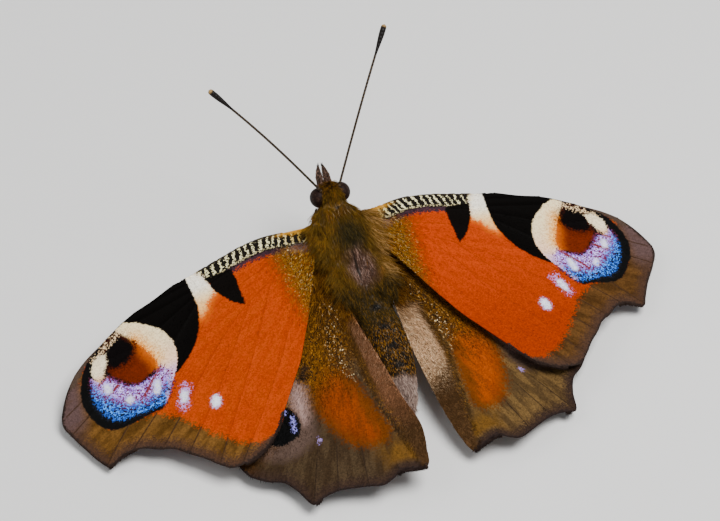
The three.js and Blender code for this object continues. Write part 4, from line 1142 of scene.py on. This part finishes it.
def body_share(rear, front, flanks_only):
    """Where a coat grows: between two places along the body, thinner underneath, or on the flanks only."""
    def share(middle, facing, _):
        grows = ((middle[:, 1] > rear) & (middle[:, 1] <= front)) * np.where(facing[:, 2] < -0.5, 0.45, 1)
        if flanks_only:
            grows = grows * (np.abs(middle[:, 0] - BODY_MIDDLE) > 1.7) * (facing[:, 2] > -0.1)
        return grows
    return share


body_coat_look = coat_material("body_coat", fur, 0.55, 0.55)
COATS = (
    # name, tufts, from, to, length, width, lift, curl
    ("thorax_coat", 16500, -7.0, 2.9, 1.55, 0.032, 0.34, 0.40),
    ("abdomen_coat", 15500, -19.0, -7.0, 0.42, 0.036, 0.36, 0.32),
    ("head_coat", 7000, 2.9, 8.0, 0.78, 0.030, 0.72, 0.34),
    ("shoulder_coat", 3800, -6.2, 1.6, 2.4, 0.034, 0.10, 0.16),
)
for coat_name, tufts, rear, front, length, width, lift, curl in COATS:
    roots, normals, _, _ = sow(skin, tufts, body_share(rear, front, coat_name == "shoulder_coat"))
    lengths = length * draw.uniform(0.65, 1.25, tufts)
    lies = comb(roots, normals)
    out = roots[:, 0] - BODY_MIDDLE
    if coat_name == "thorax_coat":
        # Short on the shield, and longest at the sides
        far = ((roots[:, 0] - 0.75) / 1.3) ** 2 + ((roots[:, 1] + 4.6) / 1.9) ** 2
        sides = np.interp(np.abs(out), (1, 3), (0.8, 1.35))
        lengths *= (1 - 0.62 * np.exp(-far) * (normals[:, 2] > 0.2)) * sides
    if coat_name == "abdomen_coat":
        lengths *= np.interp(roots[:, 1], (-18, -16.8, -15.8), (3.2, 2.4, 1.0))
    if coat_name == "shoulder_coat":
        outward = np.sign(out) * draw.uniform(0.35, 1.0, tufts)
        lies = np.stack([outward, draw.uniform(-1.0, -0.35, tufts), draw.uniform(-0.35, -0.1, tufts)], -1)
    if coat_name == "head_coat":
        ahead = np.clip((roots[:, 1] - 4.2) / 1.2, 0, 1)[:, None]
        lies = lies * (1 - ahead) + ahead * (np.array((0, 0.5, 0.8)) + 0.3 * draw.standard_normal((tufts, 3)))
    coat = lay_coat(coat_name, roots, normals, lies, lengths, width, lift, curl, unroll(roots))
    coat.data.materials.append(body_coat_look)


# Hair on the wings: golden hair scales over the roots, longest beside the thorax, a short pinkish nap in the
# gutters beside the abdomen, and a fringe along the outer edges. Each tuft keeps the marks of its root.
def lay_wing_coat(name, wing, side, tufts, weight, length_at, lie_at, width, lift, curl, look):
    """Tufts on one wing, laid by functions of the place out and ahead, that keep the marks of their roots."""
    kept = {layer.name: read(layer.data, "value", len(wing.data.vertices)) for layer in wing.data.attributes
            if layer.domain == "POINT" and layer.data_type == "FLOAT" and not layer.name.startswith(".")}

    def share(mid, face, corners):
        out, ahead = kept["out"][corners].mean(1), kept["ahead"][corners].mean(1)
        return weight(out, ahead, kept, corners) * (face[:, 2] > 0.2)

    roots, normals, corners, w = sow(wing, tufts, share)
    rooted = {mark: (values[corners] * w[..., 0]).sum(1) for mark, values in kept.items()}
    out, ahead = rooted["out"], rooted["ahead"]
    lies = lie_at(out, ahead)
    lies[:, 0] *= side
    lies = lies / np.linalg.norm(lies, axis=1, keepdims=True)
    locks = 0.35 * sway(roots, 1.5, 3)[:, None] * np.array((1, 0.6, 0))
    lies += locks + 0.22 * draw.standard_normal((tufts, 3))
    unwrap = np.stack([0.03 + 0.94 * (out + 1.5) / 32, 0.03 + 0.94 * (ahead + 24) / 27], -1)
    lengths = length_at(out, ahead) * draw.uniform(0.6, 1.3, tufts)
    coat = lay_coat(name, roots, normals, lies, lengths, width, lift, curl, unwrap, (0.4, 1.5))
    for mark, values in rooted.items():
        keep(coat.data, mark, np.repeat(values, len(FORM_POINTS)))
    coat.data.materials.append(look)


fore_hair = paint_fore_wing("forewing_hair", True)
hind_hair = paint_hind_wing("hindwing_hair", True)
for side, word in ((-1, "left"), (1, "right")):
    lay_wing_coat(
        "forewing_hair_" + word, fore_wings[word], side, 9500,
        lambda out, ahead, kept, c: (np.clip((8.6 + 0.12 * ahead - out) / 4.5, 0, 1) ** 1.5 + 0.012)
        * (out > 2.7) * np.interp(kept["costa"][c].mean(1), (1.3, 2.0), (0, 1)),
        lambda out, ahead: np.interp(out, (2.8, 4, 5.5, 9), (0.9, 0.42, 0.28, 0.22)),
        lambda out, ahead: np.stack([out - 0.6, ahead - 1.5, -0.16 * out], -1),
        0.024, 0.26, 0.22, fore_hair)
    lay_wing_coat(
        "hindwing_hair_" + word, hind_wings[word], side, 9500,
        lambda out, ahead, kept, c: np.clip((12.5 + ahead + 0.35 * out) / 6, 0, 1) * (out > -0.2) + 0.035,
        lambda out, ahead: np.interp(-ahead, (0, 4, 8, 14), (1.4, 0.9, 0.5, 0.34)),
        lambda out, ahead: np.stack([out * 0.8 + 0.3, ahead - 1.0, 0.18 * ahead], -1),
        0.026, 0.28, 0.22, hind_hair)
    lay_wing_coat(
        "gutter_nap_" + word, hind_wings[word], side, 8500,
        lambda out, ahead, kept, c: (kept["gutter"][c].mean(1) < 0.3)
        * np.interp(ahead, (-22, -16, -3), (0.35, 0.8, 1.0)),
        lambda out, ahead: np.interp(-ahead, (2, 6, 10, 20), (1.5, 1.0, 0.42, 0.34)),
        lambda out, ahead: np.stack([0.55 + 0 * out, -1.0 + 0 * out, -0.15 + 0 * out], -1),
        0.022, 0.34, 0.28, hind_hair)
    for pair, wing, look in (("forewing", fore_wings[word], fore_hair),
                             ("hindwing", hind_wings[word], hind_hair)):
        lay_wing_coat(
            pair + "_fringe_" + word, wing, side, 3800,
            lambda out, ahead, kept, c: (kept["margin"][c].max(1) < 0.16) * 1.0,
            lambda out, ahead: 0.36 + 0 * out,
            lambda out, ahead: np.stack([out - 3, ahead * 1.5, -0.3 - 0.16 * out], -1),
            0.03, 0.02, 0.04, look)

# Eyes: two large dark domes at the sides of the head, with a fine net of facets and a dusky bloom
EYE_SIZES = (0.88, 0.95, 1.02)
eye_look, eye_tree, eye_shader = new_look("eye_dome")
eye_mm = in_mm(eye_tree)
facets = plug(eye_tree, "TexVoronoi", eye_mm, None, 22.0).outputs["Distance"]
bloom = noise(eye_tree, eye_mm, 3.2, 4.0)
eye_colour = lay(eye_tree, ramp(eye_tree, bloom, 0.5, 0.68), (0.022, 0.010, 0.006), (0.075, 0.038, 0.024))
eye_colour = lay(eye_tree, ramp(eye_tree, facets, 0.35, 0.7), eye_colour, (0.008, 0.004, 0.004))
finish_look(eye_tree, eye_shader, eye_colour, carry(eye_tree, bloom, 0.3, 0.7, 0.42, 0.62), 0.09,
            facets, 0.5, 0.01, sunk=True)
for side, word in ((-1, "left"), (1, "right")):
    bpy.ops.object.select_all(action="DESELECT")
    bpy.ops.mesh.primitive_uv_sphere_add(segments=56, ring_count=40, radius=1, location=(0, 0, 0))
    eye = bpy.context.active_object
    eye.name = "eye_dome_" + word
    middle = from_head(side * 1.1, 0.1, -0.05)
    for corner in eye.data.vertices:
        x, y, z = (length * size for length, size in zip(corner.co, EYE_SIZES))
        corner.co = in_frame((middle[0] + x, middle[1] + y * THORAX_COS - z * THORAX_SIN,
                              middle[2] + y * THORAX_SIN + z * THORAX_COS))
    bpy.ops.object.shade_smooth()
    eye.data.materials.append(eye_look)
    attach(eye, "root")
    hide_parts("eye_" + word)


# Feelers: thin ringed stalks that end in long black clubs with pale tips, drawn along a soft curve
FEELER_RADIUS = 0.115
FEELER_RINGS = 0.36
CLUB_LENGTH = 3.6
CLUB_SWELL = 0.165
CLUB_CAP = 0.25
FEELER_REACH = {"left": (-8.66, 6.11, 11.1), "right": (8.2, 8.6, 10.7)}


def stalk(name, path, radii, sides=10):
    """A round rod along body places, with a radius at each: a closed mesh whose mark run grows along it."""
    line = bpy.data.curves.new(name, "CURVE")
    line.dimensions = "3D"
    line.bevel_depth = 0.001
    line.bevel_resolution = max(0, sides // 2 - 1)
    line.use_fill_caps = True
    spline = line.splines.new("POLY")
    spline.points.add(len(path) - 1)
    for point, place, thickness in zip(spline.points, path, radii):
        point.co = (*in_frame(place), 1)
        point.radius = thickness
    rod = bpy.data.objects.new(name, line)
    bpy.context.scene.collection.objects.link(rod)
    bpy.ops.object.select_all(action="DESELECT")
    rod.select_set(True)
    bpy.context.view_layer.objects.active = rod
    bpy.ops.object.convert(target="MESH")
    rod = bpy.context.active_object
    mesh = rod.data
    if mesh.uv_layers.active:
        mesh.uv_layers.remove(mesh.uv_layers.active)
    weld(0.000001)
    spots = body_spots(mesh)
    route = np.array(path)
    lengths = np.concatenate([[0], np.cumsum(np.linalg.norm(np.diff(route, axis=0), axis=1))])
    nearest = np.linalg.norm(spots[:, None] - route[None], axis=2).argmin(1)
    keep(mesh, "run", lengths[nearest])
    bpy.ops.object.shade_smooth()
    return rod


def horn_material(name, dark, pale, ring_length, club=None):
    """Dark horn with a fine grain and pale rings, darker and then pale at the end where there is a club."""
    made, tree, shader = new_look(name)
    grain = noise(tree, in_mm(tree), 9.0, 3.0)
    run = kept_value(tree, "run")
    ring = sum_up(tree, "SINE", sum_up(tree, "MULTIPLY", run, 2 * math.pi / ring_length))
    colour = lay(tree, ramp(tree, ring, 0.55, 0.9), dark, pale)
    colour = lay(tree, ramp(tree, grain, 0.45, 0.7), colour, tuple(0.5 * v for v in dark))
    if club:
        colour = lay(tree, ramp(tree, run, club[0] - 0.3, club[0] + 0.3), colour, (0.006, 0.004, 0.003))
        colour = lay(tree, ramp(tree, run, club[1] - 0.12, club[1] + 0.1), colour, (0.36, 0.22, 0.08))
    finish_look(tree, shader, colour, carry(tree, grain, 0.3, 0.7, 0.38, 0.6), 0.22,
                sum_up(tree, "ADD", grain, ring), 0.6, 0.03)
    return made


for side, word in ((-1, "left"), (1, "right")):
    root = from_head(side * 0.72, 0.25, 0.7)
    reach = from_thorax(side * 0.72, 5.95, 1.05) + np.array(FEELER_REACH[word]) - root
    whole = float(np.linalg.norm(reach))
    path, radii = [], []
    for i in range(121):
        t = i / 120
        place = root + reach * t
        place[2] += 0.5 * math.sin(math.pi * t)
        back = (1 - t) * whole
        ripple = 0.006 * math.sin(2 * math.pi * t * whole / FEELER_RINGS)
        thickness = FEELER_RADIUS + 0.05 * math.exp(-t * whole / 0.35) + ripple
        if back < CLUB_LENGTH:
            bulge = min(1, 0.14 + back / CLUB_LENGTH) ** 0.62
            thickness = FEELER_RADIUS + CLUB_SWELL * math.sin(math.pi * bulge) ** 1.2
        if back < CLUB_CAP:
            thickness *= math.sqrt(max(0.02, 1 - (1 - back / CLUB_CAP) ** 2))
        path.append(place)
        radii.append(thickness)
    feeler = stalk("feeler_" + word, path, radii, 12)
    horn = horn_material("feeler_horn_" + word, (0.024, 0.014, 0.007), (0.10, 0.066, 0.032), FEELER_RINGS,
                         (whole - 3.0, whole - 0.2))
    feeler.data.materials.append(horn)
    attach(feeler, "root")
    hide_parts("antenna_" + word)


# Palps: two hairy fingers held side by side before the face, tapering to dark points
def bend_path(marks, steps):
    """A soft path through marks in the body's millimetres."""
    curve = smooth_curve([m[:3] for m in marks], steps)
    radii = np.interp(np.linspace(0, len(marks) - 1, len(curve)), range(len(marks)), [m[3] for m in marks])
    return curve, radii


def flecked_hair(name, base, fleck_colour, share, dark_run=None):
    """A coat of one colour with flecks of another, darker past a distance along the limb."""
    group, sources, goals = new_group(name + "_marks", [("Fleck", "Float")], [("Colour", "Color")])
    tone = lay(group, flecks(group, sources[0], share), base, fleck_colour)
    if dark_run:
        darker = ramp(group, kept_value(group, "run"), dark_run - 0.4, dark_run + 0.2)
        tone = lay(group, darker, tone, (0.012, 0.008, 0.007))
    group.links.new(tone, goals[0])
    return coat_material(name, group, 0.5, 0.55)


def coat_limb(name, rod, path, tufts, length, width, lift, look):
    """Short hair along a limb, laid towards its end."""
    route = np.array(path)
    run = read(rod.data.attributes["run"].data, "value", len(rod.data.vertices))
    roots, normals, corners, w = sow(rod, tufts, lambda mid, face, c: 1.0)
    nearest = np.linalg.norm(roots[:, None] - route[None], axis=2).argmin(1)
    lies = route[np.minimum(nearest + 1, len(route) - 1)] - route[np.maximum(nearest - 1, 0)]
    lies = lies / np.linalg.norm(lies, axis=1, keepdims=True) + 0.2 * draw.standard_normal((tufts, 3))
    along = (run[corners] * w[..., 0]).sum(1)
    turn = np.arctan2(normals[:, 0], normals[:, 2]) / (2 * np.pi) + 0.5
    unwrap = np.stack([0.03 + 0.94 * turn, 0.03 + 0.94 * along / max(along.max(), 1)], -1)
    lengths = length * draw.uniform(0.6, 1.3, tufts)
    coat = lay_coat(name, roots, normals, lies, lengths, width, lift, 0.25, unwrap)
    keep(coat.data, "run", np.repeat(along, len(FORM_POINTS)))
    coat.data.materials.append(look)


# Each step of a palp, from the head's middle: out, along, above, and its radius
PALP = ((0.32, 0.55, -0.75, 0.28), (0.36, 1.3, -0.6, 0.33), (0.35, 1.95, -0.25, 0.31),
        (0.29, 2.5, 0.12, 0.20), (0.20, 3.0, 0.5, 0.05))
palp_hair = flecked_hair("palp_hair", (0.050, 0.028, 0.018), (0.36, 0.21, 0.15), 0.34, 2.5)
palp_skin = horn_material("palp_skin", (0.05, 0.032, 0.025), (0.07, 0.045, 0.036), 0.5)
for side, word in ((-1, "left"), (1, "right")):
    marks = [(*from_head(side * out, along, lift), thick) for out, along, lift, thick in PALP]
    # Both lean a little to the left of the face
    marks = [(x - 0.2 * k / 4, y, z, r) for k, (x, y, z, r) in enumerate(marks)]
    path, radii = bend_path(marks, 8)
    palp = stalk("palp_core_" + word, path, radii, 14)
    palp.data.materials.append(palp_skin)
    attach(palp, "root")
    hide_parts("palp_" + word)
    coat_limb("palp_coat_" + word, palp, path, 1300, 0.34, 0.020, 0.26, palp_hair)

# Tongue: a dark tube rolled up like a watch spring under the head, between the palps
coil = [from_head(0, 0.55, -1.15)]
for i in range(111):
    turn = 1.8 * 2 * math.pi * i / 110
    reach_out = 0.6 - 0.46 * i / 110
    coil.append(from_head(0, 1.3 - reach_out * math.cos(turn), -1.85 - reach_out * math.sin(turn)))
tongue = stalk("tongue_coil", coil, np.interp(range(len(coil)), (0, 60, 111), (0.12, 0.09, 0.05)), 10)
tongue.data.materials.append(horn_material("tongue_horn", (0.045, 0.028, 0.018), (0.09, 0.055, 0.035), 0.14))
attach(tongue, "root")
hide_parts("proboscis")

# Legs: a hairy thigh, a spiny shank and a jointed foot flat on the floor; the fore pair is small and folded
leg_skin = horn_material("leg_horn_ringed", (0.050, 0.036, 0.026), (0.13, 0.10, 0.075), 0.55)
leg_hair = flecked_hair("leg_hair", (0.050, 0.034, 0.024), (0.17, 0.125, 0.09), 0.3)
# Each joint of a leg: out from the middle, along the body and above the floor, and its radius
LEGS = {
    "foreleg": ((0.8, 1.9, 6.0, 0.24), (1.15, 2.8, 4.9, 0.24), (1.25, 3.7, 4.9, 0.20), (1.1, 4.3, 6.0, 0.16),
                (0.9, 4.5, 6.9, 0.07)),
    "midleg": ((1.2, 0.6, 4.6, 0.34), (2.5, 2.0, 5.2, 0.30), (3.8, 3.1, 5.2, 0.20), (4.5, 3.8, 3.0, 0.15),
               (4.9, 4.2, 0.62, 0.13), (5.15, 4.55, 0.13, 0.12), (5.6, 5.2, 0.11, 0.11),
               (6.05, 5.85, 0.10, 0.08)),
    "hindleg": ((1.3, -1.4, 3.9, 0.34), (2.9, -3.2, 4.3, 0.30), (4.5, -4.9, 4.3, 0.20),
                (5.3, -6.9, 2.4, 0.15),
                (5.9, -8.6, 0.62, 0.13), (6.1, -9.2, 0.13, 0.12), (6.5, -10.4, 0.11, 0.11),
                (6.85, -11.5, 0.10, 0.08)),
}
for leg_name, joints in LEGS.items():
    for side, word in ((-1, "left"), (1, "right")):
        path, radii = bend_path([(BODY_MIDDLE + side * x, y, z, r) for x, y, z, r in joints], 9)
        path[:, 2] = np.maximum(path[:, 2], radii + 0.004)
        leg = stalk(leg_name + "_limb_" + word, path, radii, 12)
        leg.data.materials.append(leg_skin)
        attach(leg, "root")
        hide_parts(leg_name + "_" + word)
        coat_limb(leg_name + "_coat_" + word, leg, path, 900, 0.30, 0.018, 0.35, leg_hair)
